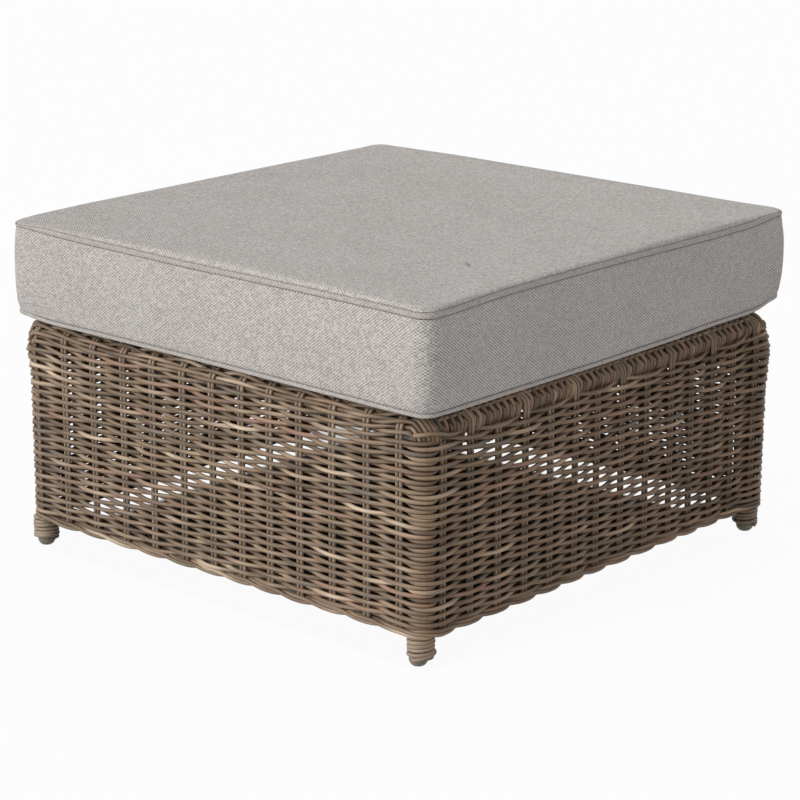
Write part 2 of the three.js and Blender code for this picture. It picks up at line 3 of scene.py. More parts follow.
import bmesh
import bpy
import numpy as np
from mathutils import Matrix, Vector


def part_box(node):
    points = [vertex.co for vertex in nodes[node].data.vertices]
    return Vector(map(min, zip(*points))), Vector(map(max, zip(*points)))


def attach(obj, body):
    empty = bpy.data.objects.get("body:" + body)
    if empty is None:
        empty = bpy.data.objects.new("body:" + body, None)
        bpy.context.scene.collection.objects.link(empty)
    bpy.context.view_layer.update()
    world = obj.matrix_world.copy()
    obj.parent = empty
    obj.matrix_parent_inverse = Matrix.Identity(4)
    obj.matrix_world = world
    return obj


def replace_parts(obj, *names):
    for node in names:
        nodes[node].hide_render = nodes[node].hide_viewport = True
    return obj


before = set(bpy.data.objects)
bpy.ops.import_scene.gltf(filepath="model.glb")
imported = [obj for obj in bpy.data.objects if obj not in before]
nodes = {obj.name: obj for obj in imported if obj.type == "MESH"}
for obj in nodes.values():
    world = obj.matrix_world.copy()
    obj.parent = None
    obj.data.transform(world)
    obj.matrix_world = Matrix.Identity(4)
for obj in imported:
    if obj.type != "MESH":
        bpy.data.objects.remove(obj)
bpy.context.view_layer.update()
bpy.ops.object.select_all(action="DESELECT")
print("frame loaded")

sideNames = ["front", "right", "back", "left"]
cornerNames = ["front_right", "back_right", "back_left", "front_left"]


# One output socket of a material's nodes, so that sums on it read as sums
class Wire:
    def __init__(self, tree, socket=None):
        self.tree = tree
        self.socket = socket

    def make(self, kind, settings=None, sockets=None, out=0):
        node = self.tree.nodes.new(kind)
        for name, value in (settings or {}).items():
            if name == "stops":
                while len(node.color_ramp.elements) < len(value):
                    node.color_ramp.elements.new(0.5)
                for stop, (place, colour) in zip(node.color_ramp.elements, value):
                    stop.position = place
                    stop.color = (*colour, 1)
            else:
                setattr(node, name, value)
        for name, value in (sockets or {}).items():
            if isinstance(value, Wire):
                self.tree.links.new(value.socket, node.inputs[name])
            elif isinstance(value, tuple) and len(value) == 3 and node.inputs[name].type == "RGBA":
                node.inputs[name].default_value = (*value, 1)
            else:
                node.inputs[name].default_value = value
        return Wire(self.tree, node.outputs[out])

    def maths(self, operation, *values):
        return self.make("ShaderNodeMath", {"operation": operation}, dict(enumerate(values)))

    def most(self, other):
        return self.maths("MAXIMUM", self, other)

    # Distance given by two lengths at right angles
    def reach(self, other):
        return self.maths("SQRT", self * self + other * other)

    def __add__(self, other):
        return self.maths("ADD", self, other)

    __radd__ = __add__

    def __sub__(self, other):
        return self.maths("SUBTRACT", self, other)

    def __rsub__(self, other):
        return self.maths("SUBTRACT", other, self)

    def __mul__(self, other):
        return self.maths("MULTIPLY", self, other)

    __rmul__ = __mul__

    def sine(self):
        return self.maths("SINE", self)

    def cosine(self):
        return self.maths("COSINE", self)

    def size(self):
        return self.maths("ABSOLUTE", self)

    def whole(self):
        return self.maths("FLOOR", self)

    # 0 below start and 1 above end, or the other way round when start is the larger
    def step(self, start, end):
        return self.make("ShaderNodeMapRange", {"interpolation_type": "SMOOTHSTEP"},
                         {"Value": self, "From Min": start, "From Max": end})

    def span(self, low, high):
        return self.make("ShaderNodeMapRange", None, {"Value": self, "To Min": low, "To Max": high})

    def colour(self, stops):
        return self.make("ShaderNodeValToRGB", {"stops": stops}, {"Fac": self})

    def blend(self, low, high, kind="MIX"):
        return self.make("ShaderNodeMix", {"data_type": "RGBA", "blend_type": kind},
                         {"Factor": self, 6: low, 7: high}, out=2)

    def tinted(self, colour):
        return self.make("ShaderNodeMix", {"data_type": "RGBA", "blend_type": "MULTIPLY"},
                         {"Factor": 1.0, 6: self, 7: colour}, out=2)

    def parts(self):
        node = self.make("ShaderNodeSeparateXYZ", None, {0: self}).socket.node
        return [Wire(self.tree, socket) for socket in node.outputs]

    def vector(self, x, y, z):
        return self.make("ShaderNodeCombineXYZ", None, {0: x, 1: y, 2: z})

    def scatter(self, place):
        return self.make("ShaderNodeTexWhiteNoise", {"noise_dimensions": "3D"}, {"Vector": place})

    def noise(self, place, scale, detail=2, roughness=0.5):
        return self.make("ShaderNodeTexNoise", None,
                         {"Vector": place, "Scale": scale, "Detail": detail, "Roughness": roughness})


# A material whose steady values are set on the shader and whose changing ones are drawn by paint
def newMaterial(name, paint, **steady):
    material = bpy.data.materials.new(name)
    material.use_nodes = True
    tree = material.node_tree
    shader = tree.nodes["Principled BSDF"]
    for socket, value in steady.items():
        shader.inputs[socket.replace("_", " ")].default_value = value
    for socket, wire in paint(Wire(tree)).items():
        tree.links.new(wire.socket, shader.inputs[socket])
    return material


def placeOnUv(wire, layer):
    return wire.make("ShaderNodeUVMap", {"uv_map": layer}).parts()


def placeOnObject(wire):
    return wire.make("ShaderNodeTexCoord", None, None, out=3)


def bumpFrom(wire, height, distance, strength):
    sockets = {"Height": height, "Distance": distance, "Strength": strength}
    return wire.make("ShaderNodeBump", None, sockets)


# The way from the object to a viewer or lamp that stands at these angles
def wayTo(azimuth, elevation):
    around, up = math.radians(azimuth), math.radians(elevation)
    return Vector((math.sin(around) * math.cos(up), -math.cos(around) * math.cos(up), math.sin(up)))


def linked(name, data):
    thing = bpy.data.objects.new(name, data)
    bpy.context.scene.collection.objects.link(thing)
    return thing


# Camera, floor and light
photo = {"focal": 2761.4, "width": 800, "azimuth": 41.517, "elevation": 16.1405, "distance": 3.8384,
         "targetHeight": 0.2}


def addCamera():
    back = wayTo(photo["azimuth"], photo["elevation"])
    data = bpy.data.cameras.new("photoCamera")
    camera = linked("photoCamera", data)
    data.sensor_width = 36
    data.lens = photo["focal"] / photo["width"] * data.sensor_width
    data.clip_end = 100
    camera.location = Vector((0, 0, photo["targetHeight"])) + back * photo["distance"]
    camera.rotation_euler = (-back).to_track_quat("-Z", "Y").to_euler()
    bpy.context.scene.camera = camera


studio = {"sky": 0.61, "key": 2.15, "keyAngle": 38, "keyAzimuth": -20, "keyElevation": 30.5,
          "keyColour": (1.0, 0.985, 0.96), "floorSize": 24, "floorShade": 0.65, "paintedShadeUnder": 0.04,
          "paper": 0.95, "shadowEdge": 0.012, "footprint": 0.36, "under": (-0.368, 0.262, -0.252, 0.354),
          "farLeg": (-0.385, 0.385), "farShade": (0.05, 0.20)}


def addStudio():
    bpy.context.scene.view_settings.view_transform = "Standard"
    world = bpy.data.worlds.new("studio")
    world.use_nodes = True
    bpy.context.scene.world = world
    tree = world.node_tree
    tree.nodes.clear()
    start = Wire(tree)
    seen = seenDirectly(start)
    sky = start.make("ShaderNodeBackground", None, {"Color": (1.0, 1.0, 1.0), "Strength": studio["sky"]})
    white = start.make("ShaderNodeBackground", None, {"Color": (1.0, 1.0, 1.0), "Strength": 1.0})
    both = start.make("ShaderNodeMixShader", None, {0: seen, 1: sky, 2: white})
    out = tree.nodes.new("ShaderNodeOutputWorld")
    tree.links.new(both.socket, out.inputs["Surface"])

    data = bpy.data.lights.new("keyLight", "SUN")
    data.energy = studio["key"]
    data.angle = math.radians(studio["keyAngle"])
    data.color = studio["keyColour"]
    key = linked("keyLight", data)
    back = wayTo(studio["keyAzimuth"], studio["keyElevation"])
    key.rotation_euler = (-back).to_track_quat("-Z", "Y").to_euler()

    bpy.ops.mesh.primitive_plane_add(size=studio["floorSize"])
    floor = bpy.context.object
    floor.name = "floor"
    floor.data.materials.append(floorMaterial())


def seenDirectly(start):
    rays = start.make("ShaderNodeLightPath").socket.node.outputs
    direct = Wire(start.tree, rays["Is Camera Ray"])
    return direct + Wire(start.tree, rays["Is Glossy Ray"]) + Wire(start.tree, rays["Is Transmission Ray"])


# White paper to the eye, except deep under the base and round its far leg, where the real shadow stays.
# Under the base the floor's colour is also painted dark, a painted shade
def floorMaterial():
    material = bpy.data.materials.new("floorPaper")
    material.use_nodes = True
    tree = material.node_tree
    tree.nodes.clear()
    start = Wire(tree)
    x, y, _ = placeOnObject(start).parts()
    left, right, near, far = studio["under"]
    beyond = (left - x).most(x - right).most(near - y).most(y - far)
    past = beyond.step(0.0, studio["shadowEdge"])
    fromLeg = (x - studio["farLeg"][0]).reach(y - studio["farLeg"][1])
    clear = past * fromLeg.step(*studio["farShade"])
    outside = x.size().most(y.size()).step(studio["footprint"], studio["footprint"] + studio["shadowEdge"])
    # Painted shade: the floor's colour is dark inside the base's footprint
    shades = [(studio[name],) * 3 for name in ("paintedShadeUnder", "floorShade")]
    paper = start.make("ShaderNodeBsdfDiffuse", None, {"Color": outside.blend(*shades)})
    white = start.make("ShaderNodeEmission", None, {"Color": (1.0, 1.0, 1.0), "Strength": 1.0})
    share = seenDirectly(start) * clear * studio["paper"]
    both = start.make("ShaderNodeMixShader", None, {0: share, 1: paper, 2: white})
    out = tree.nodes.new("ShaderNodeOutputMaterial")
    tree.links.new(both.socket, out.inputs["Surface"])
    return material


addCamera()
addStudio()
print("camera, floor and light placed")


# The woven skin. All rows follow one line, the middle plane of the stakes, which runs round the base
weave = {
    "half": 0.3615, "straight": 0.337, "corner": 0.0245,
    "over": 0.0048, "plateau": 0.0040, "cornerOut": (0.0038, 0.0052),
    "foot": 0.0515, "pitch": 0.005467, "rows": 44, "steps": 7,
    "strand": 0.00284, "backGrowth": 0.05, "leftGrowth": 0.12, "sides": 8,
    "stakeStrand": 0.0025, "stakeGap": 0.0031,
    "rimMiddle": 0.3442, "rimHeight": 0.3012, "rimRound": 0.0173, "deckOver": 0.0038,
    "cornerLift": (0.0112, 0.0110, 0.0040, 0.0060),
    "liftReach": 0.052, "liftFlat": 0.015, "liftFrom": 30, "flareReach": 0.030,
    "arc": (0.0062, 0.0, 0.0, 0.0030), "arcShift": 0.006, "arcReach": 0.019,
    "overJitter": 0.05, "heightJitter": 0.00042, "thickJitter": 0.02, "dyeLength": 60,
}

# Painted shade: the weave is painted dark where it lies deep, behind the walls' rows, and low between the
# side rims' strands
weaveShade = {"wall": (0.0222, 0.0165), "aboveFoot": (0.041, 0.047), "belowRim": (0.306, 0.298),
        "rim": (weave["rimRound"] - 0.0004, weave["rimRound"] - 0.0034), "rimX": (0.336, 0.341),
        "rimY": (0.335, 0.325), "rimZ": (0.3012, 0.3060), "tone": (0.34, 0.30, 0.27)}
# Painted shade: the right side is painted darker, and more so towards its far end
rightSideShade = {"side": (0.333, 0.362), "farEnd": (-0.15, 0.42), "farTone": (0.74, 0.70, 0.66)}


def weaveShadeShare(x, y, z):
    acrossX = (x.size() - weave["straight"]).most(0.0)
    acrossY = (y.size() - weave["straight"]).most(0.0)
    between = z.step(*weaveShade["aboveFoot"]) * z.step(*weaveShade["belowRim"])
    wall = acrossX.reach(acrossY).step(*weaveShade["wall"]) * between
    rimReach = (x.size() - weave["rimMiddle"]).most(0.0).reach((z - weave["rimHeight"]).most(0.0))
    onRim = x.size().step(*weaveShade["rimX"]) * y.size().step(*weaveShade["rimY"]) * z.step(*weaveShade["rimZ"])
    return wall.most(rimReach.step(*weaveShade["rim"]) * onRim)


# Round strand of dyed resin: slow changes of tone along it, fine streaks and a little wear on its crown;
# painted shade darkens the right side and where the weave lies deep
def strandPaint(tones, streaks):
    def paint(start):
        around, along, _ = placeOnUv(start, "strand")
        turn = around * (2 * math.pi)
        slow = start.noise(start.vector(0.0, 0.0, along * 5.5), 1.0, 2, 0.55)
        hue = start.noise(start.vector(7.0, 3.0, along * 3.1), 1.0, 1, 0.5)
        fine = start.noise(start.vector(turn.cosine() * 2.6, turn.sine() * 2.6, along * 26.0), 1.0, 3, 0.6)
        speck = start.noise(start.vector(turn.cosine() * 1.5, turn.sine() * 1.5, along * 300.0), 1.0, 2, 0.6)
        dyed = slow.span(0.0, 1.0).colour(tones["stops"])
        rosy = hue.step(0.52, 0.68).blend(dyed, tones["rose"])
        grey = hue.step(0.46, 0.30).blend(rosy, tones["grey"])
        streaked = (fine.step(0.35, 0.66) * streaks).blend(grey, tones["streak"], "MULTIPLY")
        worn = (speck.step(0.58, 0.72) * 0.35).blend(streaked, tones["streak"], "MULTIPLY")
        x, y, z = placeOnObject(start).parts()
        # Painted shade: the right side is painted darker, and its far end darker still
        shadedSide = x.step(*rightSideShade["side"])
        sideShaded = shadedSide.blend(worn, worn.tinted(tones["shadedSide"]))
        far = (shadedSide * y.step(*rightSideShade["farEnd"])).blend(sideShaded, sideShaded.tinted(rightSideShade["farTone"]))
        # Painted shade where the weave lies deep
        return {"Base Color": weaveShadeShare(x, y, z).blend(far, far.tinted(weaveShade["tone"])),
                "Roughness": fine.span(0.40, 0.62),
                "Normal": bumpFrom(start, fine * 0.7 + speck * 0.3, 0.0006, 0.5)}
    return paint


# Each set's last tint is a painted shade laid on the right side of the base
rowTones = {
    "stops": [(0.33, (0.105, 0.070, 0.044)), (0.45, (0.198, 0.139, 0.091)),
              (0.56, (0.340, 0.250, 0.172)), (0.66, (0.690, 0.545, 0.410))],
    "rose": (0.375, 0.240, 0.172), "grey": (0.205, 0.168, 0.134), "streak": (0.48, 0.43, 0.38),
    "shadedSide": (0.88, 0.82, 0.76),
}
stakeTones = {
    "stops": [(0.32, (0.205, 0.150, 0.105)), (0.5, (0.345, 0.265, 0.190)), (0.68, (0.560, 0.450, 0.340))],
    "rose": (0.380, 0.250, 0.185), "grey": (0.26, 0.22, 0.178), "streak": (0.50, 0.45, 0.40),
    "shadedSide": (0.85, 0.80, 0.74),
}
legTones = {
    "stops": [(0.28, (0.270, 0.205, 0.150)), (0.5, (0.380, 0.300, 0.230)), (0.72, (0.470, 0.380, 0.300))],
    "rose": (0.39, 0.28, 0.22), "grey": (0.30, 0.25, 0.21), "streak": (0.55, 0.50, 0.45),
    "shadedSide": (0.92, 0.85, 0.78),
}

rowRattan = newMaterial("rowRattan", strandPaint(rowTones, 0.75), Specular_IOR_Level=0.42)
stakeRattan = newMaterial("stakeRattan", strandPaint(stakeTones, 0.75), Specular_IOR_Level=0.4)
legRattan = newMaterial("legRattan", strandPaint(legTones, 0.6), Specular_IOR_Level=0.42)


# Rings of points round a path. The first point of each ring lies away from normals, where the map's seam is
def ringsRound(points, normals, radius, sides, closed=False):
    ahead = np.roll(points, -1, 0) - np.roll(points, 1, 0) if closed else np.gradient(points, axis=0)
    along = ahead / np.linalg.norm(ahead, axis=1)[:, None]
    across = np.cross(along, normals)
    across /= np.linalg.norm(across, axis=1)[:, None]
    out = np.cross(across, along)
    angle = math.pi + np.arange(sides) * 2 * math.pi / sides
    reach = np.broadcast_to(np.asarray(radius, float), (len(points),))[:, None, None]
    return points[:, None] + reach * (np.cos(angle)[None, :, None] * out[:, None]
                                      + np.sin(angle)[None, :, None] * across[:, None])


def lengthsAlong(points):
    steps = np.linalg.norm(np.diff(points, axis=0), axis=1)
    return np.concatenate([[0.0], np.cumsum(steps)])


# A smaller ring just past the last one, so that a cut end is rounded off
def roundedTip(last, before):
    middle = last.mean(0)
    ahead = middle - before.mean(0)
    ahead = ahead / np.linalg.norm(ahead) * np.linalg.norm(last[0] - middle) * 0.22
    return middle + (last - middle) * 0.78 + ahead


# A piece from points and faces, with a map of its own where it has one
def newPiece(name, points, faces, material, layer=None, uvs=None):
    mesh = bpy.data.meshes.new(name)
    mesh.from_pydata(points.tolist(), [], faces)
    if layer:
        mesh.uv_layers.new(name=layer).data.foreach_set("uv", np.asarray(uvs, np.float32).ravel())
    mesh.materials.append(material)
    mesh.shade_smooth()
    return linked(name, mesh)


def smoothByAngle(piece, degrees):
    bpy.context.view_layer.objects.active = piece
    piece.select_set(True)
    bpy.ops.object.shade_smooth_by_angle(angle=math.radians(degrees))
    piece.select_set(False)


# Many strands gathered into one mesh
class Bundle:
    def __init__(self):
        self.points = []
        self.faces = []
        self.uvs = []
        self.count = 0

    def add(self, rings, lengths, tips=(True, True)):
        sides = rings.shape[1]
        rings, lengths = list(rings), list(lengths)
        if tips[0]:
            rings.insert(0, roundedTip(rings[0], rings[1]))
            lengths.insert(0, lengths[0] - 0.001)
        if tips[1]:
            rings.append(roundedTip(rings[-1], rings[-2]))
            lengths.append(lengths[-1] + 0.001)
        count = len(rings)
        first = self.count
        self.points.append(np.concatenate(rings))
        index = first + np.arange(count * sides).reshape(count, sides)
        beside = np.roll(index, -1, 1)
        quads = np.stack([index[:-1], beside[:-1], beside[1:], index[1:]], -1).reshape(-1, 4)
        u = np.arange(sides + 1) / sides
        v = np.asarray(lengths)
        corners = np.zeros((count - 1, sides, 4, 2))
        corners[:, :, 0, 0] = corners[:, :, 3, 0] = u[:-1]
        corners[:, :, 1, 0] = corners[:, :, 2, 0] = u[1:]
        corners[:, :, 0, 1] = corners[:, :, 1, 1] = v[:-1, None]
        corners[:, :, 2, 1] = corners[:, :, 3, 1] = v[1:, None]
        self.faces += quads.tolist()
        self.uvs.append(corners.reshape(-1, 2))
        self.faces.append(index[0][::-1].tolist())
        self.faces.append(index[-1].tolist())
        for end in (0, -1):
            self.uvs.append(np.stack([np.full(sides, 0.5), np.full(sides, v[end])], -1))
        self.count += count * sides

    def build(self, name, material):
        piece = newPiece(name, np.concatenate(self.points), self.faces, material, "strand",
                         np.concatenate(self.uvs))
        smoothByAngle(piece, 62)
        return piece


def finishBase(piece, slot, *replaced):
    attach(piece, "base")
    if replaced:
        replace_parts(piece, *replaced)


# How far each corner stands out beyond its even round, by height
cornerFlares = [
    [(0.04, 0.0010), (0.20, 0.0020), (0.27, 0.0040), (0.290, 0.0025), (0.303, 0.0)],
    [(0.04, 0.0025), (0.20, 0.0042), (0.255, 0.0078), (0.268, 0.0086), (0.280, 0.0062), (0.292, 0.0034),
     (0.303, 0.0)],
    [(0.04, 0.0010), (0.20, 0.0020), (0.27, 0.0040), (0.290, 0.0025), (0.303, 0.0)],
    [(0.04, 0.0), (0.25, 0.0), (0.268, 0.0024), (0.284, 0.0046), (0.294, 0.0022), (0.305, 0.0)],
]
frontStakes = [-0.3456, -0.287, -0.2305, -0.1715, -0.1156, -0.0586, -0.0047, 0.0482, 0.0983, 0.1505,
               0.2067, 0.2647, 0.3192]
rightStakes = [-0.331, -0.278, -0.2237, -0.1701, -0.1193, -0.0682, -0.0229, 0.0301, 0.0843, 0.1385,
               0.1846, 0.2339, 0.2817, 0.3305]
sideStakes = [frontStakes, rightStakes, [-x for x in reversed(frontStakes)],
              [-y for y in reversed(rightStakes)]]
quarterArc = weave["corner"] * math.pi / 2
sideLength = 2 * weave["straight"] + quarterArc
loopLength = 4 * sideLength
cornerPlaces = [(i + 1) * sideLength - quarterArc / 2 for i in range(4)]
seed = np.random.default_rng(682)


def placeOnLoop(side, u):
    beyond = abs(u) - weave["straight"]
    arc = weave["corner"] * math.asin(beyond / weave["corner"]) if beyond > 0 else beyond
    return side * sideLength + weave["straight"] + math.copysign(weave["straight"] + arc, u)


def turned(x, y, angle):
    c, s = np.cos(angle), np.sin(angle)
    return np.stack([x * c - y * s, x * s + y * c], -1)


# Points on the loop and their outward directions, at places round it and distances out from it
def loopPoints(places, out):
    places = np.asarray(places, float) % loopLength
    side = np.minimum((places // sideLength).astype(int), 3)
    local = places - side * sideLength
    flat = local <= 2 * weave["straight"]
    angle = np.where(flat, 0.0, (local - 2 * weave["straight"]) / weave["corner"])
    nx, ny = np.sin(angle), -np.cos(angle)
    x = np.where(flat, local - weave["straight"], weave["straight"] + weave["corner"] * nx)
    y = np.where(flat, -weave["half"], -weave["straight"] + weave["corner"] * ny)
    x, y = x + nx * out, y + ny * out
    turn = side * math.pi / 2
    return turned(x, y, turn), turned(nx, ny, turn)


# Knots are the stakes and the middles of the corners, in order round the loop
stakePlaces = [placeOnLoop(side, u) % loopLength for side in range(4) for u in sideStakes[side]]
knots = [{"place": place, "stake": number} for number, place in enumerate(stakePlaces)]
knots += [{"place": place, "stake": None} for place in cornerPlaces]
knots.sort(key=lambda knot: knot["place"])

# Samples round the loop: each stands between two knots, at a share of the way
samples = []
for i, knot in enumerate(knots):
    after = knots[(i + 1) % len(knots)]
    gap = (after["place"] - knot["place"]) % loopLength
    start = 0.0 if knot["stake"] is None else weave["plateau"]
    end = 0.0 if after["stake"] is None else weave["plateau"]
    for n in range(weave["steps"] + 1 if end else weave["steps"]):
        along = start + (gap - start - end) * n / weave["steps"]
        samples.append(((knot["place"] + along) % loopLength, n / weave["steps"], i))
samplePlace, sampleShare, sampleKnot = [np.array(values) for values in zip(*sorted(samples))]
sampleEase = (1 - np.cos(sampleShare * math.pi)) / 2
sampleNext = (sampleKnot + 1) % len(knots)


def pastCorner(places, corner):
    return (places - corner + loopLength / 2) % loopLength - loopLength / 2


# How far the rows are pushed up near each corner, as the border there is thicker
def cornerLift(places):
    lift = np.zeros(len(places))
    for corner, most in zip(cornerPlaces, weave["cornerLift"]):
        away = np.maximum(0, np.abs(pastCorner(places, corner)) - weave["liftFlat"]) / weave["liftReach"]
        lift += most * np.exp(-away**2)
    return lift


# The top closed row arches up over the ends of the strands behind it
def cornerArc(places, row):
    share = {weave["rows"] - 1: 1.0, weave["rows"] - 2: 0.2}.get(row, 0.0)
    arc = np.zeros(len(places))
    for corner, most in zip(cornerPlaces, weave["arc"]):
        away = (pastCorner(places, corner) - weave["arcShift"]) / weave["arcReach"]
        arc += share * most * np.exp(-away**2)
    return arc


def cornerFlare(places, heights):
    flare = np.zeros(len(places))
    for corner, table in zip(cornerPlaces, cornerFlares):
        away = pastCorner(places, corner) / weave["flareReach"]
        flare += np.exp(-away**2) * np.interp(heights, *zip(*table))
    return flare


# Slow waves of the rows: how high, how many round the base, how fast they shift with height, and from where
waves = [(0.0007, 5, 31, 0.4), (0.0005, 11, -47, 2.1), (0.0004, 17, 90, 4.0)]


def slowWave(places, height):
    turn = places / loopLength * 2 * math.pi
    return sum(high * np.sin(count * turn + height * shift + start) for high, count, shift, start in waves)


def knotOffsets(row):
    offsets = []
    for knot in knots:
        if knot["stake"] is None:
            offsets.append(weave["cornerOut"][row % 2])
        else:
            offsets.append(weave["over"] * (1 if (knot["stake"] + row) % 2 == 0 else -1))
    return np.array(offsets)


def atSamples(values):
    return values[sampleKnot] * (1 - sampleEase) + values[sampleNext] * sampleEase


def rowOut(row):
    return atSamples(knotOffsets(row) * (1 + seed.normal(0, weave["overJitter"], len(knots))))


def rowJitter():
    return atSamples(seed.normal(0, weave["heightJitter"], len(knots)))


# Strands differ a little in thickness, and each starts anywhere along the dyed length
def thickness(radius):
    return radius * (1 + seed.normal(0, weave["thickJitter"]))


def dyedLengths(points):
    return lengthsAlong(points) + seed.uniform(0, weave["dyeLength"])


def wallRowHeights(row):
    base = weave["foot"] + weave["pitch"] * row
    ramp = np.clip((row - weave["liftFrom"]) / (weave["rows"] - 1 - weave["liftFrom"]), 0, 1)
    low = 0.0022 * max(0, 1 - row / 4) * np.minimum(1, cornerLift(samplePlace) / 0.004)
    lift = cornerLift(samplePlace) * ramp + cornerArc(samplePlace, row)
    return base + lift + low + slowWave(samplePlace, base) + rowJitter()


# The strands of the back and left walls are a little thicker
def farWallGrowth(places):
    first, middle, last = cornerPlaces[1:4]
    marks = [first - 0.05, first, middle, middle + 0.05, last - 0.1, last]
    growths = [0, weave["backGrowth"], weave["backGrowth"], weave["leftGrowth"], weave["leftGrowth"], 0]
    return 1 + np.interp(places, marks, growths)


def addWallRows():
    walls = [Bundle() for _ in range(4)]
    splits = [int(np.argmin(np.abs(samplePlace - place))) for place in cornerPlaces]
    count = len(samplePlace)
    for row in range(weave["rows"]):
        heights = wallRowHeights(row)
        flat, normal = loopPoints(samplePlace, rowOut(row) + cornerFlare(samplePlace, heights))
        points = np.column_stack([flat, heights])
        normals = np.column_stack([normal, np.zeros(count)])
        radius = thickness(weave["strand"]) * farWallGrowth(samplePlace)
        rings = ringsRound(points, normals, radius, weave["sides"], closed=True)
        lengths = samplePlace + seed.uniform(0, weave["dyeLength"])
        for side in range(4):
            first, last = splits[side - 1], splits[side]
            if side == 0:
                picked = np.concatenate([np.arange(first, count), np.arange(0, last + 1)])
                span = np.concatenate([lengths[first:] - loopLength, lengths[:last + 1]])
            else:
                picked = np.arange(first, last + 1)
                span = lengths[picked]
            walls[side].add(rings[picked], span, tips=(False, False))
    for name, wall in zip(sideNames, walls):
        finishBase(wall.build(f"wovenRows_{name}", rowRattan), "rattan", f"woven_wall_{name}")


addWallRows()
print("wall rows woven")


# How far the skin runs over the quarter round of the rim
rimArc = weave["rimRound"] * math.pi / 2


# Reach and height of the skin, and which way it faces there, by how far a point lies from the rim's start
def skinPoint(up, out):
    up, out = np.broadcast_arrays(np.asarray(up, float), np.asarray(out, float))
    tilt = np.clip(up / weave["rimRound"], 0, math.pi / 2)
    reach = weave["rimRound"] + out
    half = weave["rimMiddle"] + reach * np.cos(tilt) - np.maximum(0, up - rimArc)
    height = weave["rimHeight"] + reach * np.sin(tilt) + np.minimum(0, up)
    return half, height, np.cos(tilt), np.sin(tilt)


# Rows count on from the walls' rows, to the middle of the deck and on over the back
rimRows = {"first": 44, "half": 56, "rimPitch": 0.00496, "deckPitch": 0.0071, "radius": 0.0027, "sides": 7,
           "liftKeep": 47, "liftEnd": 60, "liftShare": {"front": 1.0, "back": 0.4}, "calmFrom": 60,
           "calmShare": 0.5, "rimLast": 52, "fanLast": 50, "fanStart": 20, "fanStep": 11.6,
           "tipBelow": -0.0125, "tipOut": 0.0012, "domeReach": 0.55, "domeFrom": 0.296, "domeHeight": 0.0185,
           "shapes": {"front": ((0.0025, 0.0015), (0.0015, 0.0045)),
                      "back": ((0.0113, 0.0), (0.0060, 0.0015))}}


# Places of the rows over the front rim and deck, evenly stepped in rows from the top closed row
def rimRowPlaces():
    top = weave["foot"] + weave["pitch"] * (weave["rows"] - 1) - weave["rimHeight"]
    grid = np.linspace(top, rimArc + weave["rimMiddle"], 4000)
    pitch = np.where(grid < rimArc, rimRows["rimPitch"], rimRows["deckPitch"])
    pitch = np.where(grid < 0, weave["pitch"], pitch)
    index = np.concatenate([[0], np.cumsum(np.diff(grid) / pitch[:-1])])
    index *= (rimRows["half"] + 0.5) / index[-1]
    return np.interp(np.arange(1, rimRows["half"] + 1), index, grid)


# A row from its left end, middle and right end, each with points and normals; both ends run outward
def joinedRow(left, middle, right):
    return [np.concatenate([before[::-1], between, after])
            for before, between, after in zip(left, middle, right)]


def addRimAndDeckRows():
    places = rimRowPlaces()
    rims = {"front": Bundle(), "back": Bundle()}
    deck = [Bundle(), Bundle()]
    flat = np.nonzero(samplePlace < 2 * weave["straight"] + 1e-6)[0]
    xs = samplePlace[flat] - weave["straight"]
    last = rimRows["first"] + 2 * rimRows["half"] - 1
    for row in range(rimRows["first"], last + 1):
        mirrored = row >= rimRows["first"] + rimRows["half"]
        bend, sign = ("back", -1) if mirrored else ("front", 1)
        near = rimRows["first"] + last - row if mirrored else row
        up = places[near - rimRows["first"]]
        keep = np.clip((rimRows["liftEnd"] - near) / (rimRows["liftEnd"] - rimRows["liftKeep"]), 0, 1)
        out = rowOut(row)
        lift = cornerLift(samplePlace) * keep * rimRows["liftShare"][bend]
        share = 1 if near < rimRows["calmFrom"] else rimRows["calmShare"]
        ups = up + lift + slowWave(samplePlace, up + 0.3) * share + rowJitter()
        if near <= rimRows["fanLast"]:
            right, left = [fanPoints(near, ups, out, hand, *shape)
                           for hand, shape in zip((1, -1), rimRows["shapes"][bend])]
            half, height, facingOut, facingUp = skinPoint(ups[flat], out[flat])
            middle = (np.column_stack([xs, -half, height]),
                      np.column_stack([np.zeros(len(xs)), -facingOut, facingUp]))
            points, normals = joinedRow(left, middle, right)
            target = rims[bend]
        else:
            points, normals = deckRow(row, sign, ups[flat], out[flat], xs)
            target = rims[bend] if near <= rimRows["rimLast"] else deck[0 if row % 2 else 1]
        points = points * [1, sign, 1]
        normals = normals * [1, sign, 1]
        rings = ringsRound(points, normals, thickness(rimRows["radius"]), rimRows["sides"])
        target.add(rings, dyedLengths(points))
    for bend, bundle in rims.items():
        finishBase(bundle.build(f"rimRows_{bend}", rowRattan), "rattan", f"woven_rim_{bend}")
    for half, bundle in enumerate(deck):
        piece = bundle.build(f"deckRows_{half + 1}", rowRattan)
        finishBase(piece, "rattan", "seat_deck", "rim_wrap_right", "rim_wrap_left")


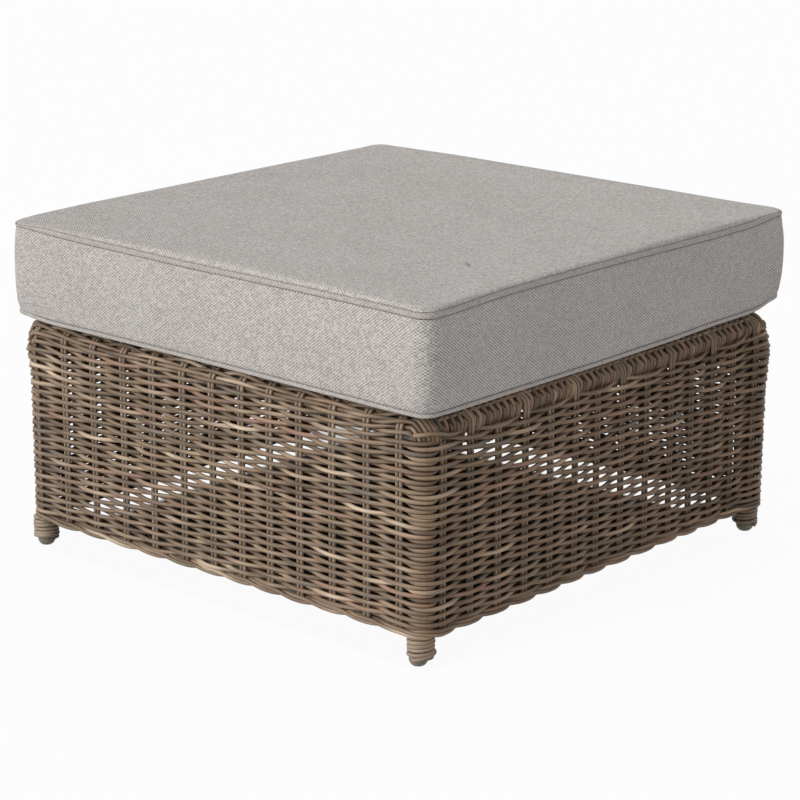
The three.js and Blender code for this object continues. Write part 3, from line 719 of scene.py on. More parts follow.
# The end of a rim row: it fans round the corner and runs down behind the top closed row
def fanPoints(near, ups, out, hand, dome, shoulder):
    straight = weave["straight"]
    edge = 2 * straight if hand > 0 else 0.0
    start = ups[int(np.argmin(np.abs(samplePlace - edge)))]
    turnEnd = math.radians(rimRows["fanStart"] + (near - rimRows["first"]) * rimRows["fanStep"])
    share = np.linspace(0, 1, 12)[1:]
    angle = turnEnd * np.sin(share * math.pi / 2)
    up = rimRows["tipBelow"] + (start - rimRows["tipBelow"]) * np.cos(share * math.pi / 2)
    arcPlace = (edge + hand * angle * weave["corner"]) % loopLength
    wallOut = np.interp(arcPlace, samplePlace, out, period=loopLength)
    give = rimRows["tipOut"] + (wallOut - rimRows["tipOut"]) * (1 - share)
    give = give + shoulder * np.sin(share * math.pi) * np.exp(-((angle - math.pi / 4) / 0.6)**2)
    half, height, facingOut, facingUp = skinPoint(up, give)
    reach = half - straight
    middle = np.exp(-((angle - math.pi / 4) / rimRows["domeReach"])**2)
    pull = dome * middle * np.clip((height - rimRows["domeFrom"]) / rimRows["domeHeight"], 0, 1)
    across = straight + reach * np.sin(angle) - pull
    points = np.column_stack([hand * across, -straight - reach * np.cos(angle) + pull, height])
    normals = np.column_stack([hand * facingOut * np.sin(angle), -facingOut * np.cos(angle), facingUp])
    return points, normals


# Ends of the deck's rows over the side rims. Angles are degrees up the rim, and heights start where it does
sideRim = {"tilts": (88, 79, 71, 63, 55, 47, 39, 31, 23, 15, 6), "below": (-0.004, -0.0115),
           "tip": -0.0340, "tipStray": 0.004, "stray": 0.0006,
           "reach": ((-0.0340, -0.0102), (-0.0115, -0.0040), (-0.004, -0.0012), (0.0024, 0.0004)),
           "deckHalf": 0.316, "edgeTilt": 60, "edgeHalf": 0.333, "edgeOver": 0.0036, "edgeUnder": 0.0084,
           "dive": (4, 52), "flatter": 0.0020, "apart": (20, 84), "upright": (2, 88),
           "lean": ((-0.34, 0.005), (-0.29, 0.0120)), "clear": 0.0050}
risingStakes = rightStakes[1::2]


def eased(share):
    return share * share * (3 - 2 * share)


# How far the rim's strands lean towards the back, at a place along the side
def rimLean(y):
    return np.interp(y, *zip(*sideRim["lean"]))


# How much of the lean is left, by the angle up the rim
def leanLeft(tilt):
    return eased(np.interp(tilt, sideRim["upright"], [1, 0]))


# Where a strand goes lower down: the same spread of strands, drawn together clear of each rising stake
def besideStakes(y):
    tops = [stakeY - rimLean(stakeY) for stakeY in risingStakes]
    froms, targets = [-0.345], [-0.345]
    for top in tops:
        froms += [top - 1e-5, top + 1e-5]
        targets += [top - sideRim["clear"], top + sideRim["clear"]]
    return np.interp(y, froms + [0.35], targets + [0.35])


# A row across the deck whose two ends bend over the side rims and hang behind the top closed row
def deckRow(row, sign, ups, wave, xs):
    inside = np.abs(xs) < sideRim["deckHalf"]
    half, height = skinPoint(np.maximum(ups, rimArc), 0.0)[:2]
    rise = wave * (weave["deckOver"] / weave["over"])
    middle = np.column_stack([xs, -half, height + rise])[inside]
    edge = -sideRim["edgeUnder"] if row % 2 == 0 else sideRim["edgeOver"]
    ends = []
    for hand, start in ((-1, middle[0]), (1, middle[-1])):
        onRim = np.radians(sideRim["tilts"]) * weave["rimRound"]
        tip = sideRim["tip"] + seed.normal(0, sideRim["tipStray"])
        up = np.concatenate([onRim, sideRim["below"], [tip]])
        tilt = np.degrees(up / weave["rimRound"])
        dive = eased(np.interp(tilt, sideRim["dive"], [0, 1])) * edge
        flatter = sideRim["flatter"] * np.sin(np.radians(np.clip(tilt, 0, 90)) * 2)
        out = np.interp(up, *zip(*sideRim["reach"])) + dive - flatter
        reach, z, facingOut, facingUp = skinPoint(up, out)
        apart = eased(np.interp(tilt, sideRim["apart"], [1, 0]))
        down = leanLeft(tilt)
        place = start[1] * sign
        stray = seed.normal(0, sideRim["stray"]) * down
        y = place + (besideStakes(place) - place) * apart + rimLean(place) * down + stray
        ends.append((np.column_stack([hand * reach, y * sign, z]),
                     np.column_stack([hand * facingOut, 0 * facingOut, facingUp])))
    return joinedRow(ends[0], (middle, np.tile([0.0, 0.0, 1.0], (len(middle), 1))), ends[1])


addRimAndDeckRows()
print("rim and deck rows woven")


stakes = {"foot": 0.043, "sides": 8, "acrossDeck": (0.344, 24), "pastRim": (0.004, 2), "intoRim": (0.03, 4),
          "hiddenEnd": -0.0135, "hiddenReach": ((-0.03, 0.0), (-0.0135, -0.0015)),
          "risingReach": ((-0.02, 0.0), (0.0, 0.0005), (rimArc * 0.7, 0.0), (rimArc, -0.002),
                          (rimArc + 0.03, -0.004))}
wallUps = np.linspace(stakes["foot"] - weave["rimHeight"], 0, 24)[:-1]


# Double stakes: two strands side by side
def stakePair(bundle, points, normals):
    ahead = np.gradient(points, axis=0)
    across = np.cross(ahead, normals)
    across /= np.linalg.norm(across, axis=1)[:, None]
    for hand in (-1, 1):
        shifted = points + across * weave["stakeGap"] * hand
        rings = ringsRound(shifted, normals, thickness(weave["stakeStrand"]), stakes["sides"])
        bundle.add(rings, dyedLengths(points))


def stakeFlare(place, ups):
    return cornerFlare(np.full(len(ups), place % loopLength), weave["rimHeight"] + ups)


# Places up the wall and over the rim, and then on for the run that is asked for
def stakeUps(run, count):
    rimUps = np.linspace(0, rimArc, 9)[:-1]
    return np.concatenate([wallUps, rimUps, np.linspace(rimArc, rimArc + run, count)])


# Up the front, across the deck and down the back; the two outermost end at each rim
def addLongStakes():
    bundle = Bundle()
    straight = weave["straight"]
    for x in frontStakes:
        across = abs(x) < straight - 0.01
        ups = stakeUps(*stakes["acrossDeck" if across else "pastRim"])
        half, height, facingOut, facingUp = skinPoint(ups, stakeFlare(placeOnLoop(0, x), ups))
        hand = np.sign(x)
        turn = math.asin(max(0, abs(x) - straight) / weave["corner"])
        facingX, facingY = hand * math.sin(turn) * facingOut, -math.cos(turn) * facingOut
        px, py = np.full(len(ups), x), -half
        if turn:
            reach = np.maximum(half - straight, 0)
            px = hand * (straight + reach * math.sin(turn))
            py = np.where(half > straight, -straight - reach * math.cos(turn), -half)
        points = np.column_stack([px, py, height])
        normals = np.column_stack([facingX, facingY, facingUp])
        back = (points * [1, -1, 1])[::-1][1:]
        backNormals = (normals * [1, -1, 1])[::-1][1:]
        if across:
            stakePair(bundle, np.concatenate([points, back]), np.concatenate([normals, backNormals]))
        else:
            stakePair(bundle, points, normals)
            stakePair(bundle, back, backNormals)
    finishBase(bundle.build("stakesFrontToBack", stakeRattan), "rattan", "woven_wall_front",
               "woven_wall_back", "woven_rim_front", "woven_rim_back", "seat_deck")


# Every second stake of a side rises over its rim, and the others end behind the top closed row
def addSideStakes(side, hand):
    bundle = Bundle()
    for n, y in enumerate(rightStakes):
        if n % 2 == 1:
            ups = stakeUps(*stakes["intoRim"])
            out = np.interp(ups, *zip(*stakes["risingReach"]))
        else:
            ups = np.append(wallUps[:-1], stakes["hiddenEnd"])
            out = np.interp(ups, *zip(*stakes["hiddenReach"]))
        place = placeOnLoop(1, y) if hand > 0 else placeOnLoop(3, -y)
        half, height, facingOut, facingUp = skinPoint(ups, out + stakeFlare(place, ups))
        upright = 1 - leanLeft(np.degrees(ups / weave["rimRound"]))
        stakePair(bundle, np.column_stack([hand * half, y - rimLean(y) * upright, height]),
                  np.column_stack([hand * facingOut, 0 * facingOut, facingUp]))
    finishBase(bundle.build(f"stakes_{side}", stakeRattan), "rattan", f"woven_wall_{side}")


# The pair along each side rim, which the deck's rows pass over and under
def addEdgeStakes():
    bundle = Bundle()
    ys = np.linspace(-sideRim["edgeHalf"], sideRim["edgeHalf"], 60)
    up = math.radians(sideRim["edgeTilt"]) * weave["rimRound"]
    half, height, facingOut, facingUp = skinPoint(np.full(len(ys), up), 0.0)
    for hand in (-1, 1):
        stakePair(bundle, np.column_stack([hand * half, ys, height]),
                  np.column_stack([hand * facingOut, 0 * facingOut, facingUp]))
    finishBase(bundle.build("edgeStakes", stakeRattan), "rattan", "rim_wrap_right", "rim_wrap_left")


addLongStakes()
addSideStakes("right", 1)
addSideStakes("left", -1)
addEdgeStakes()
print("stakes set")


# Three-strand border along the foot: each strand passes before two stakes and behind one. The lists go by
# which of the three a stake is for that strand
border = {"heights": (0.0473, 0.0424, 0.0462), "cornerHeights": (0.0455, 0.0408, 0.0503),
          "out": (0.0051, 0.0051, -weave["over"]), "cornerOut": 0.0052, "strand": 0.00255, "sides": 9}


def addBorder():
    bundle = Bundle()
    for strand in range(3):
        out, height = [], []
        for i, knot in enumerate(knots):
            if knot["stake"] is None:
                turn = (knots[i - 1]["stake"] - strand) % 3
                out.append(border["cornerOut"])
                height.append(border["cornerHeights"][turn])
            else:
                turn = (knot["stake"] - strand) % 3
                out.append(border["out"][turn])
                height.append(border["heights"][turn])
        heights = atSamples(np.array(height)) + rowJitter() * 0.6
        out = atSamples(np.array(out)) + cornerFlare(samplePlace, heights)
        flat, normal = loopPoints(samplePlace, out)
        points = np.column_stack([flat, heights])
        normals = np.column_stack([normal, np.zeros(len(flat))])
        rings = ringsRound(points, normals, border["strand"], border["sides"], closed=True)
        lengths = dyedLengths(np.concatenate([points, points[:1]]))
        bundle.add(np.concatenate([rings, rings[:1]]), lengths, tips=(False, False))
    walls = [f"woven_wall_{side}" for side in sideNames]
    finishBase(bundle.build("footBorder", rowRattan), "rattan", *walls)


addBorder()
print("border woven")

# The legs are not quite at the corners of the square: where each really stands off its post
legShift = {"front_right": (-0.0030, -0.0026), "front_left": (-0.0036, -0.0032), "back_right": (0, 0),
            "back_left": (0, 0)}
leg = {"foot": 0.0124, "head": 0.0420, "pitch": 0.0054, "gap": 0.0003, "strand": 0.0026, "post": 0.0125,
       "stepsPerTurn": 28, "sides": 10, "start": -0.75, "uneven": 0.0003, "waver": 0.0004, "slope": 0.0009,
       "bump": 0.0016, "bumpAt": 0.37, "bumpReach": 0.13, "settle": 0.0026, "settleAt": 0.12}


def legMiddle(name):
    low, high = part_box(f"post_{name}")
    return (low + high) / 2 + Vector((*legShift[name], 0))


# One strand wound up each leg, uneven in its first turn
def addLegWindings():
    for name in cornerNames:
        middle = legMiddle(name)
        turns = (leg["head"] - leg["foot"]) / leg["pitch"]
        share = np.arange(int(turns * leg["stepsPerTurn"]) + 1) / leg["stepsPerTurn"]
        outward = math.atan2(middle.y, middle.x)
        angle = outward + leg["start"] + share * 2 * math.pi
        radius = leg["post"] + leg["gap"] + leg["strand"] + leg["uneven"] * np.sin(share * 2.3)
        radius = radius + leg["bump"] * np.exp(-((share - leg["bumpAt"]) / leg["bumpReach"])**2)
        height = leg["foot"] + leg["pitch"] * share + leg["waver"] * np.sin(share * 4.1)
        settling = np.exp(-share / 0.5) * np.sin((share - leg["settleAt"]) * 2 * math.pi)
        height = height + leg["settle"] * settling + leg["slope"] * np.sin(angle - outward)
        across, along = np.cos(angle), np.sin(angle)
        points = np.column_stack([middle.x + radius * across, middle.y + radius * along, height])
        normals = np.column_stack([across, along, 0 * angle])
        bundle = Bundle()
        rings = ringsRound(points, normals, leg["strand"], leg["sides"])
        bundle.add(rings, dyedLengths(points))
        finishBase(bundle.build(f"legWinding_{name}", legRattan), "rattan", f"leg_winding_{name}")


addLegWindings()
print("legs wound")

# Plastic glides, turned about each post's middle
glide = {"sides": 40, "offset": {"front_right": (-0.0022, -0.0019)},
         "profile": [(0, 0), (0.0066, 0), (0.0078, 0.0004), (0.0098, 0.0022), (0.0113, 0.0045),
                     (0.01205, 0.0066), (0.01222, 0.0082), (0.0122, 0.0120), (0.0119, 0.0135), (0, 0.0135)]}


def glidePaint(start):
    place = placeOnObject(start)
    mottled = start.noise(place, 220.0, 3, 0.6)
    grain = start.noise(place, 2600.0, 2, 0.5)
    colour = mottled.step(0.3, 0.7).blend((0.155, 0.135, 0.090), (0.250, 0.222, 0.158))
    return {"Base Color": colour, "Roughness": mottled.span(0.32, 0.55),
            "Normal": bumpFrom(start, mottled * 0.6 + grain * 0.4, 0.0004, 0.4)}


glidePlastic = newMaterial("glidePlastic", glidePaint)


def addGlides():
    for name in cornerNames:
        middle = legMiddle(name) + Vector((*glide["offset"].get(name, (0, 0)), 0))
        mesh = bpy.data.meshes.new(f"glide_{name}")
        shape = bmesh.new()
        line = [shape.verts.new((middle.x + r, middle.y, z)) for r, z in glide["profile"]]
        edges = [shape.edges.new(pair) for pair in zip(line, line[1:])]
        bmesh.ops.spin(shape, geom=line + edges, cent=(middle.x, middle.y, 0), axis=(0, 0, 1),
                       angle=2 * math.pi, steps=glide["sides"], use_merge=True)
        bmesh.ops.remove_doubles(shape, verts=shape.verts, dist=1e-6)
        bmesh.ops.recalc_face_normals(shape, faces=shape.faces)
        shape.to_mesh(mesh)
        shape.free()
        mesh.materials.append(glidePlastic)
        piece = linked(f"glide_{name}", mesh)
        smoothByAngle(piece, 40)
        finishBase(piece, "glide", f"foot_glide_{name}")


addGlides()
print("glides turned")


# Powder coat on the tube frame
def coatPaint(start):
    place = placeOnObject(start)
    cloud = start.noise(place, 14.0, 3, 0.5)
    grain = start.noise(place, 900.0, 2, 0.55)
    colour = cloud.span(0.0, 1.0).blend((0.060, 0.045, 0.034), (0.105, 0.082, 0.064))
    return {"Base Color": colour, "Roughness": grain.span(0.45, 0.62),
            "Normal": bumpFrom(start, grain, 0.0003, 0.35)}


powderCoat = newMaterial("powderCoat", coatPaint)


def repaint(node, material):
    for slot in node.material_slots:
        slot.material = material
    if not node.material_slots:
        node.data.materials.append(material)


for name, node in nodes.items():
    if name.startswith(("post_", "top_rail_", "lower_rail_", "seat_bar_")):
        repaint(node, powderCoat)

# Cushion. Each line below runs round it side by side, as pairs of place along the side and height
cushion = {"half": 0.375, "corner": 0.020, "floor": 0.3263, "drawIn": 0.005, "bulge": 0.003,
           "band": 0.0078, "bandUnder": 0.0024, "footBand": 0.0052, "sideSteps": 72, "cornerSteps": 12,
           "cornerReach": 0.042, "zipHalf": 0.2501, "zipEdges": (0.3888, 0.3977),
           "zipRows": (0.3893, 0.39325, 0.3972), "zipDepth": 0.0034,
           "cellsAcross": 185, "cellsUp": 250, "stitch": 0.0031}
cushionStraight = cushion["half"] - cushion["corner"]
cushionSide = 2 * cushionStraight + cushion["corner"] * math.pi / 2
seamLine = [
    [(-1, 0.4566), (-0.97, 0.4560), (-0.84, 0.4532), (-0.63, 0.4507), (-0.12, 0.4488), (0.53, 0.4496),
     (0.93, 0.4500)],
    [(-0.96, 0.4502), (-0.91, 0.4496), (-0.64, 0.4524), (-0.1, 0.4520), (0.6, 0.4490), (0.84, 0.4504),
     (0.92, 0.4533), (1, 0.4580)],
    [(-0.95, 0.4540), (-0.8, 0.4508), (-0.2, 0.4492), (0.5, 0.4496), (0.85, 0.4520), (1, 0.4560)],
    [(-0.92, 0.4535), (-0.7, 0.4505), (0.0, 0.4490), (0.6, 0.4502), (0.9, 0.4535)],
]
footLine = [
    [(-1, 0.3345), (-0.96, 0.3318), (-0.84, 0.3294), (0, 0.3282), (0.5, 0.3270), (1, 0.3268)],
    [(-1, 0.3268), (-0.5, 0.3250), (-0.1, 0.3243), (0.37, 0.3254), (0.6, 0.3280), (0.85, 0.3290),
     (0.93, 0.3308), (0.97, 0.3350), (1, 0.3405)],
    [(-1, 0.3405), (-0.97, 0.3350), (-0.9, 0.3305), (-0.4, 0.3268), (0.3, 0.3262), (0.9, 0.3300),
     (1, 0.3345)],
    [(-1, 0.3345), (-0.9, 0.3300), (0, 0.3272), (0.9, 0.3300), (1, 0.3345)],
]
topLine = [
    [(-0.98, 0.4608), (-0.9, 0.4630), (-0.5, 0.4648), (0, 0.4650), (0.6, 0.4650), (0.95, 0.4644)],
    [(-0.97, 0.4640), (-0.7, 0.4652), (0.4, 0.4655), (0.9, 0.4650), (0.985, 0.4642)],
    [(-0.96, 0.4652), (-0.5, 0.4672), (0.1, 0.4670), (0.6, 0.4662), (0.97, 0.4616)],
    [(-0.96, 0.4612), (-0.5, 0.4642), (0, 0.4658), (0.66, 0.4668), (0.92, 0.4644)],
]
# How far the boxing stands out at each corner, by height
plainSwell = [(0.326, -0.0045), (0.332, -0.0022), (0.337, -0.0005), (0.351, 0.0018), (0.42, 0.0030),
              (0.4495, 0.0008)]
rightSwell = [(0.333, -0.0070), (0.338, -0.0040), (0.343, 0.0000), (0.352, 0.0028), (0.378, 0.0046),
              (0.412, 0.0054), (0.430, 0.0052), (0.4495, 0.0040), (0.457, 0.0030), (0.464, 0.0012)]
frontSwell = [(0.328, -0.0080), (0.3326, -0.0062), (0.337, -0.0036), (0.351, -0.0008), (0.42, -0.0006),
              (0.445, -0.0004), (0.457, -0.0018), (0.464, -0.0026)]
cornerSwell = [plainSwell, rightSwell, plainSwell, frontSwell]


def squares(u, v):
    across = u * (2 * math.pi * cushion["cellsAcross"])
    return across.cosine() * (v * (2 * math.pi * cushion["cellsUp"])).cosine()


# Fabric in dobby squares: rows of raised threads set off by half a step, each float a little different
def clothPaint(tone, dark):
    def paint(start):
        u, v, _ = placeOnUv(start, "cloth")
        seam = start.make("ShaderNodeAttribute", {"attribute_name": "seam"}, None, out=2)
        lattice = squares(u, v)
        cell = start.scatter(start.vector((u * (2 * cushion["cellsAcross"]) + 0.5).whole(),
                                          (v * (2 * cushion["cellsUp"]) + 0.5).whole(), 3.0))
        fleck = start.noise(start.vector(u * 700.0, v * 700.0, 2.0), 1.0, 2, 0.6)
        slow = start.noise(start.vector(u * 9.0, v * 9.0, 5.0), 1.0, 3, 0.5)
        onRight = u.step(cushionSide - 0.012, cushionSide + 0.004)
        beside = onRight - u.step(2 * cushionSide, 2 * cushionSide + 0.01)
        light = lattice * (beside * 0.42 + 0.46) + 0.5 + (cell - 0.5) * 0.50 + (fleck - 0.5) * 0.7
        colour = light.step(-0.15, 1.15).blend(dark, tone)
        colour = slow.step(0.3, 0.7).blend(colour, (0.96, 0.955, 0.95), "MULTIPLY")
        # Painted shade in the seams' grooves: a dark line, broken by the real stitches
        stitch = (u * (2 * math.pi / cushion["stitch"])).cosine().step(-0.2, 0.6)
        seamShade = seam * (0.92 - stitch * 0.45)
        colour = seamShade.blend(colour, (0.10, 0.088, 0.078))
        return {"Base Color": colour, "Roughness": light.span(0.95, 0.82),
                "Normal": bumpFrom(start, lattice * 0.35 + cell * 0.3 + fleck * 0.3, 0.0005, 0.6)}
    return paint


# The plain cloth of the bands, with a row of stitches near the upper edge
def bandPaint(start):
    u, v, _ = placeOnUv(start, "cloth")
    fleck = start.noise(start.vector(u * 500.0, v * 900.0, 2.0), 1.0, 2, 0.6)
    slow = start.noise(start.vector(u * 14.0, v * 60.0, 5.0), 1.0, 2, 0.5)
    stitch = (u * (2 * math.pi / cushion["stitch"])).cosine().step(0.1, 0.7)
    line = (v - 0.0066).size().step(0.0011, 0.0004)
    cell = start.scatter(start.vector((u * 370.0).whole(), (v * 500.0).whole(), 3.0))
    light = fleck.step(0.3, 0.7) * 0.4 + cell * 0.4 + squares(u, v) * 0.5 + 0.1
    colour = light.blend((0.265, 0.245, 0.235), (0.590, 0.555, 0.532))
    colour = slow.step(0.35, 0.65).blend(colour, (0.95, 0.94, 0.94), "MULTIPLY")
    colour = (stitch * line * 0.45).blend(colour, (0.22, 0.20, 0.185))
    return {"Base Color": colour, "Roughness": fleck.span(0.93, 0.8),
            "Normal": bumpFrom(start, fleck * 0.5 - stitch * line, 0.0004, 0.5)}


cushionCloth = newMaterial("cushionCloth", clothPaint((0.652, 0.617, 0.594), (0.232, 0.219, 0.210)),
                           Specular_IOR_Level=0.2)
bandCloth = newMaterial("bandCloth", bandPaint, Specular_IOR_Level=0.2)


# The line round the cushion at nominal size: places, their outward directions and their distance round it
def cushionOutline():
    places, outward, marks = [], [], []
    ends = np.array([-1.006, -1, 1, 1.006]) * cushion["zipHalf"] / cushionStraight
    share = np.sort(np.concatenate([np.linspace(-1, 1, cushion["sideSteps"] + 1)[:-1], ends]))
    angle = np.linspace(0, math.pi / 2, cushion["cornerSteps"] + 1)[:-1]
    drawn = cushion["drawIn"] * np.clip(1 - np.abs(share)**3.2, 0, 1)
    x = np.concatenate([share * cushionStraight, cushionStraight + cushion["corner"] * np.sin(angle)])
    y = np.concatenate([drawn - cushion["half"], -cushionStraight - cushion["corner"] * np.cos(angle)])
    nx = np.concatenate([0 * share, np.sin(angle)])
    ny = np.concatenate([0 * share - 1, -np.cos(angle)])
    mark = np.concatenate([share * cushionStraight, cushionStraight + angle * cushion["corner"]])
    for side in range(4):
        places.append(turned(x, y, side * math.pi / 2))
        outward.append(turned(nx, ny, side * math.pi / 2))
        marks.append(mark + cushionStraight + side * cushionSide)
    return np.concatenate(places), np.concatenate(outward), np.concatenate(marks)


cushionPlaces, cushionOutward, cushionMarks = cushionOutline()
cushionCorners = [(side + 1) * cushionSide - cushion["corner"] * math.pi / 4 for side in range(4)]


# Heights round the cushion from one of the tables above, smoothed a little
def aroundCushion(line):
    marks, heights = [], []
    for side, pairs in enumerate(line):
        for share, height in pairs:
            marks.append((share + 1) * cushionStraight + side * cushionSide)
            heights.append(height)
    even = np.linspace(0, 4 * cushionSide, 1200, endpoint=False)
    rough = np.interp(even, marks, heights, period=4 * cushionSide)
    smooth = sum(np.roll(rough, shift) for shift in range(-6, 7)) / 13
    return np.interp(cushionMarks, even, smooth, period=4 * cushionSide)


footHeights, seamHeights, topHeights = [aroundCushion(line) for line in (footLine, seamLine, topLine)]
bandTop = np.minimum(seamHeights + cushion["band"], topHeights - cushion["bandUnder"])


def awayFromCorner(corner, shift=0.0):
    whole = 4 * cushionSide
    return np.abs((cushionMarks - cushionCorners[corner] - shift + whole / 2) % whole - whole / 2)


def cushionRing(out, z, scale=1.0):
    flat = (cushionPlaces + cushionOutward * np.broadcast_to(out, cushionMarks.shape)[:, None]) * scale
    return np.column_stack([flat, np.broadcast_to(z, cushionMarks.shape)])


def boxingOut(z):
    out = np.zeros(len(cushionMarks))
    for corner, table in enumerate(cornerSwell):
        out += np.exp(-(awayFromCorner(corner) / cushion["cornerReach"])**2) * np.interp(z, *zip(*table))
    return out


# The part of the back boxing where the zip lies
def zipSlot():
    middle = 2 * cushionSide + cushionStraight
    return np.abs(cushionMarks - middle) < cushion["zipHalf"] + 0.0003


def cushionPucker(level):
    turn = cushionMarks / (8 * cushion["half"]) * 2 * math.pi
    return (0.00035 * np.sin(23 * turn + level) + 0.0003 * np.sin(41 * turn + 2 * level)
            + 0.0004 * np.sin(9 * turn + 1.3 + level))


# Small folds where the cloth of the top is gathered at two of the corners
def cornerFolds():
    left = 0.0022 * np.exp(-(awayFromCorner(3, 0.004) / 0.005)**2)
    return left + 0.0020 * np.exp(-(awayFromCorner(1) / 0.005)**2)


# The face between two rings at one step round them, by the numbers of its points
def quad(low, high, i, count):
    j = (i + 1) % count
    return [low * count + i, low * count + j, high * count + j, high * count + i]


# Faces that close the first and the last ring, each round a point that comes after the rings' own
def caps(rings, count):
    faces = []
    last = (rings - 1) * count
    for i in range(count):
        j = (i + 1) % count
        faces += [[rings * count, j, i], [rings * count + 1, last + i, last + j]]
    return faces


def clothMesh(name, points, faces, uvs, material):
    piece = newPiece(name, points, faces, material, "cloth", uvs)
    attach(piece, "cushion")
    return piece


# Sections of the cover. The seam at its foot is height and painted shade; the one under the band is reach,
# height and painted shade, the shade in the seam's groove. The bulge goes by share of the height, and the
# roll over the edge is reach and share of its rise
cover = {"floorScales": (0.02, 0.2, 0.4, 0.6, 0.8, 0.92),
         "footSeam": ((0.0, 0.0), (0.0040, 0.0), (0.0052, 0.75), (0.0060, 0.75), (0.0070, 0.0)),
         "bulge": ((0, 0), (0.06, 0), (0.25, 0.8), (0.5, 1), (0.75, 0.8), (0.94, 0), (1, 0)),
         "roll": ((-0.0007, 0.06), (-0.0003, 0.17), (-0.0008, 0.42), (-0.0020, 0.66), (-0.0040, 0.83),
                  (-0.0080, 0.92), (-0.0140, 0.97)),
         "rollEnd": -0.0206, "rollHeight": 0.0072, "seamDrop": 0.0012,
         "seam": ((-0.0006, -0.0004, 0.5), (-0.0017, 0.0001, 1.0), (-0.0019, 0.0012, 1.0)),
         "crown": (0.945, 0.92, 0.89, 0.85, 0.78, 0.68, 0.56, 0.42, 0.28, 0.14, 0.02)}


# Rings from the middle of the floor panel, up the boxing and in over the top. Each carries its kind of map,
# how much painted shade its seam's groove gets, and its place on the flat map
def addCushion():
    seam, foot, top = seamHeights, footHeights, topHeights
    rings, kinds, seamShade, flats = [], [], [], []

    def add(ring, kind, shade=0.0, flat=None):
        rings.append(ring)
        kinds.append(kind)
        seamShade.append(np.full(len(ring), shade) if np.isscalar(shade) else shade)
        flats.append(ring[:, :2] if flat is None else flat)

    for scale in cover["floorScales"]:
        add(cushionRing(0.0, cushion["floor"], scale), "floor")
    add(cushionRing(boxingOut(foot) - 0.012, (foot + cushion["floor"]) / 2), "floor")
    add(cushionRing(boxingOut(foot) - 0.0035, foot + 0.0002), "floor")
    # Painted shade in the groove of the foot's seam, fading out near two corners
    plain = np.clip(np.minimum(awayFromCorner(3), awayFromCorner(1)) / 0.045 - 0.15, 0, 1)
    for up, shade in cover["footSeam"]:
        out = boxingOut(foot + up) - (0.0012 if up == 0 else 0.0009 * shade * plain)
        add(cushionRing(out, foot + up), "side", shade * plain)

    levels = np.linspace(0, 1, 27)
    bulge = np.interp(levels, *zip(*cover["bulge"]))
    bulge = np.convolve(np.pad(bulge, 2, mode="edge"), np.ones(5) / 5, mode="valid") * cushion["bulge"]
    zipLow, zipHigh = cushion["zipEdges"]
    slotRows = [(zipLow, 0.0), *((z, cushion["zipDepth"]) for z in cushion["zipRows"]), (zipHigh, 0.0)]
    for level, swell in zip(levels[2:], bulge[2:]):
        z = foot + level * (seam - cover["seamDrop"] - foot)
        if z.min() > zipLow - 0.003:
            for slotZ, sunk in slotRows:
                out = cushion["bulge"] + boxingOut(slotZ)
                add(cushionRing(np.where(zipSlot(), out - sunk, out), slotZ), "side")
            slotRows = []
        if z.max() < zipLow - 0.001 or z.min() > zipHigh + 0.001:
            add(cushionRing(swell + boxingOut(z), z), "side")
    edge = boxingOut(seam)
    # Painted shade along the seam under the band and in the groove above it
    for out, up, shade in cover["seam"]:
        add(cushionRing(edge + out, seam + up), "side", shade)
    add(cushionRing(edge - 0.0012, bandTop - 0.0008), "side", 0.15)

    folds = cornerFolds()
    crest = boxingOut(top)
    section = np.array([*cover["roll"], (cover["rollEnd"], 1)]) * [1, cover["rollHeight"]]
    unrolled = np.cumsum(np.hypot(*np.diff(section, axis=0).T)[::-1])[::-1] + cover["rollEnd"]
    for (out, rise), spread in zip(cover["roll"], unrolled):
        ring = cushionRing(crest * (1 + out / 0.02) + out - folds * rise, bandTop + rise * (top - bandTop))
        ring[:, 2] -= folds * rise
        # The roll's first rings carry a faint painted shade from the groove beside the band
        add(ring, "top", 0.12 if rise < 0.1 else 0.0, cushionRing(spread, 0.0)[:, :2])
    middle = float(top.mean()) + 0.0003
    for scale in cover["crown"]:
        ring = cushionRing(0.0, top + (middle - top) * min(1.0, (0.96 - scale) * 2.2), scale)
        if scale > 0.5:
            ring[:, 2] += cushionPucker(scale * 20) * (1.2 if scale > 0.9 else 0.6)
        add(ring, "top")

    count = len(cushionMarks)
    points = np.concatenate(rings + [[[0, 0, cushion["floor"]]], [[0, 0, middle]]])
    faces, uvs = [], []
    extended = np.append(cushionMarks, 4 * cushionSide)
    for r in range(len(rings) - 1):
        onSide = kinds[r] == "side" and kinds[r + 1] == "side"
        for i in range(count):
            j = (i + 1) % count
            faces.append(quad(r, r + 1, i, count))
            if onSide:
                marks = (i, i + 1, i + 1, i)
                uvs += [(extended[mark], points[at][2]) for mark, at in zip(marks, faces[-1])]
            elif kinds[r] == "side":
                uvs += [tuple(flats[r + 1][at]) for at in (i, j, j, i)]
            else:
                uvs += [tuple(flats[ring][at]) for ring, at in ((r, i), (r, j), (r + 1, j), (r + 1, i))]
    for face in caps(len(rings), count):
        faces.append(face)
        uvs += [tuple(points[at][:2]) for at in face]
    piece = clothMesh("cushionCover", points, faces, uvs, cushionCloth)
    # The painted shade of the seams' grooves goes on the points for the cloth to read
    shade = piece.data.attributes.new("seam", "FLOAT", "POINT")
    shade.data.foreach_set("value", np.append(np.concatenate(seamShade), [0, 0]).astype(np.float32))
    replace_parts(piece, "cushion_cover")


# Flat band of plain cloth sewn over an edge of the boxing. Its section is reach, share of its height and
# distance run across the cloth
bandSection = [(0.0, 0.0, 0.0), (0.0009, 0.02, 0.0004), (0.0015, 0.12, 0.0011), (0.0018, 0.5, 0.0039),
               (0.0015, 0.88, 0.0067), (0.0009, 0.98, 0.0074), (0.0, 1.0, 0.0078), (-0.0012, 0.5, 0.0118)]


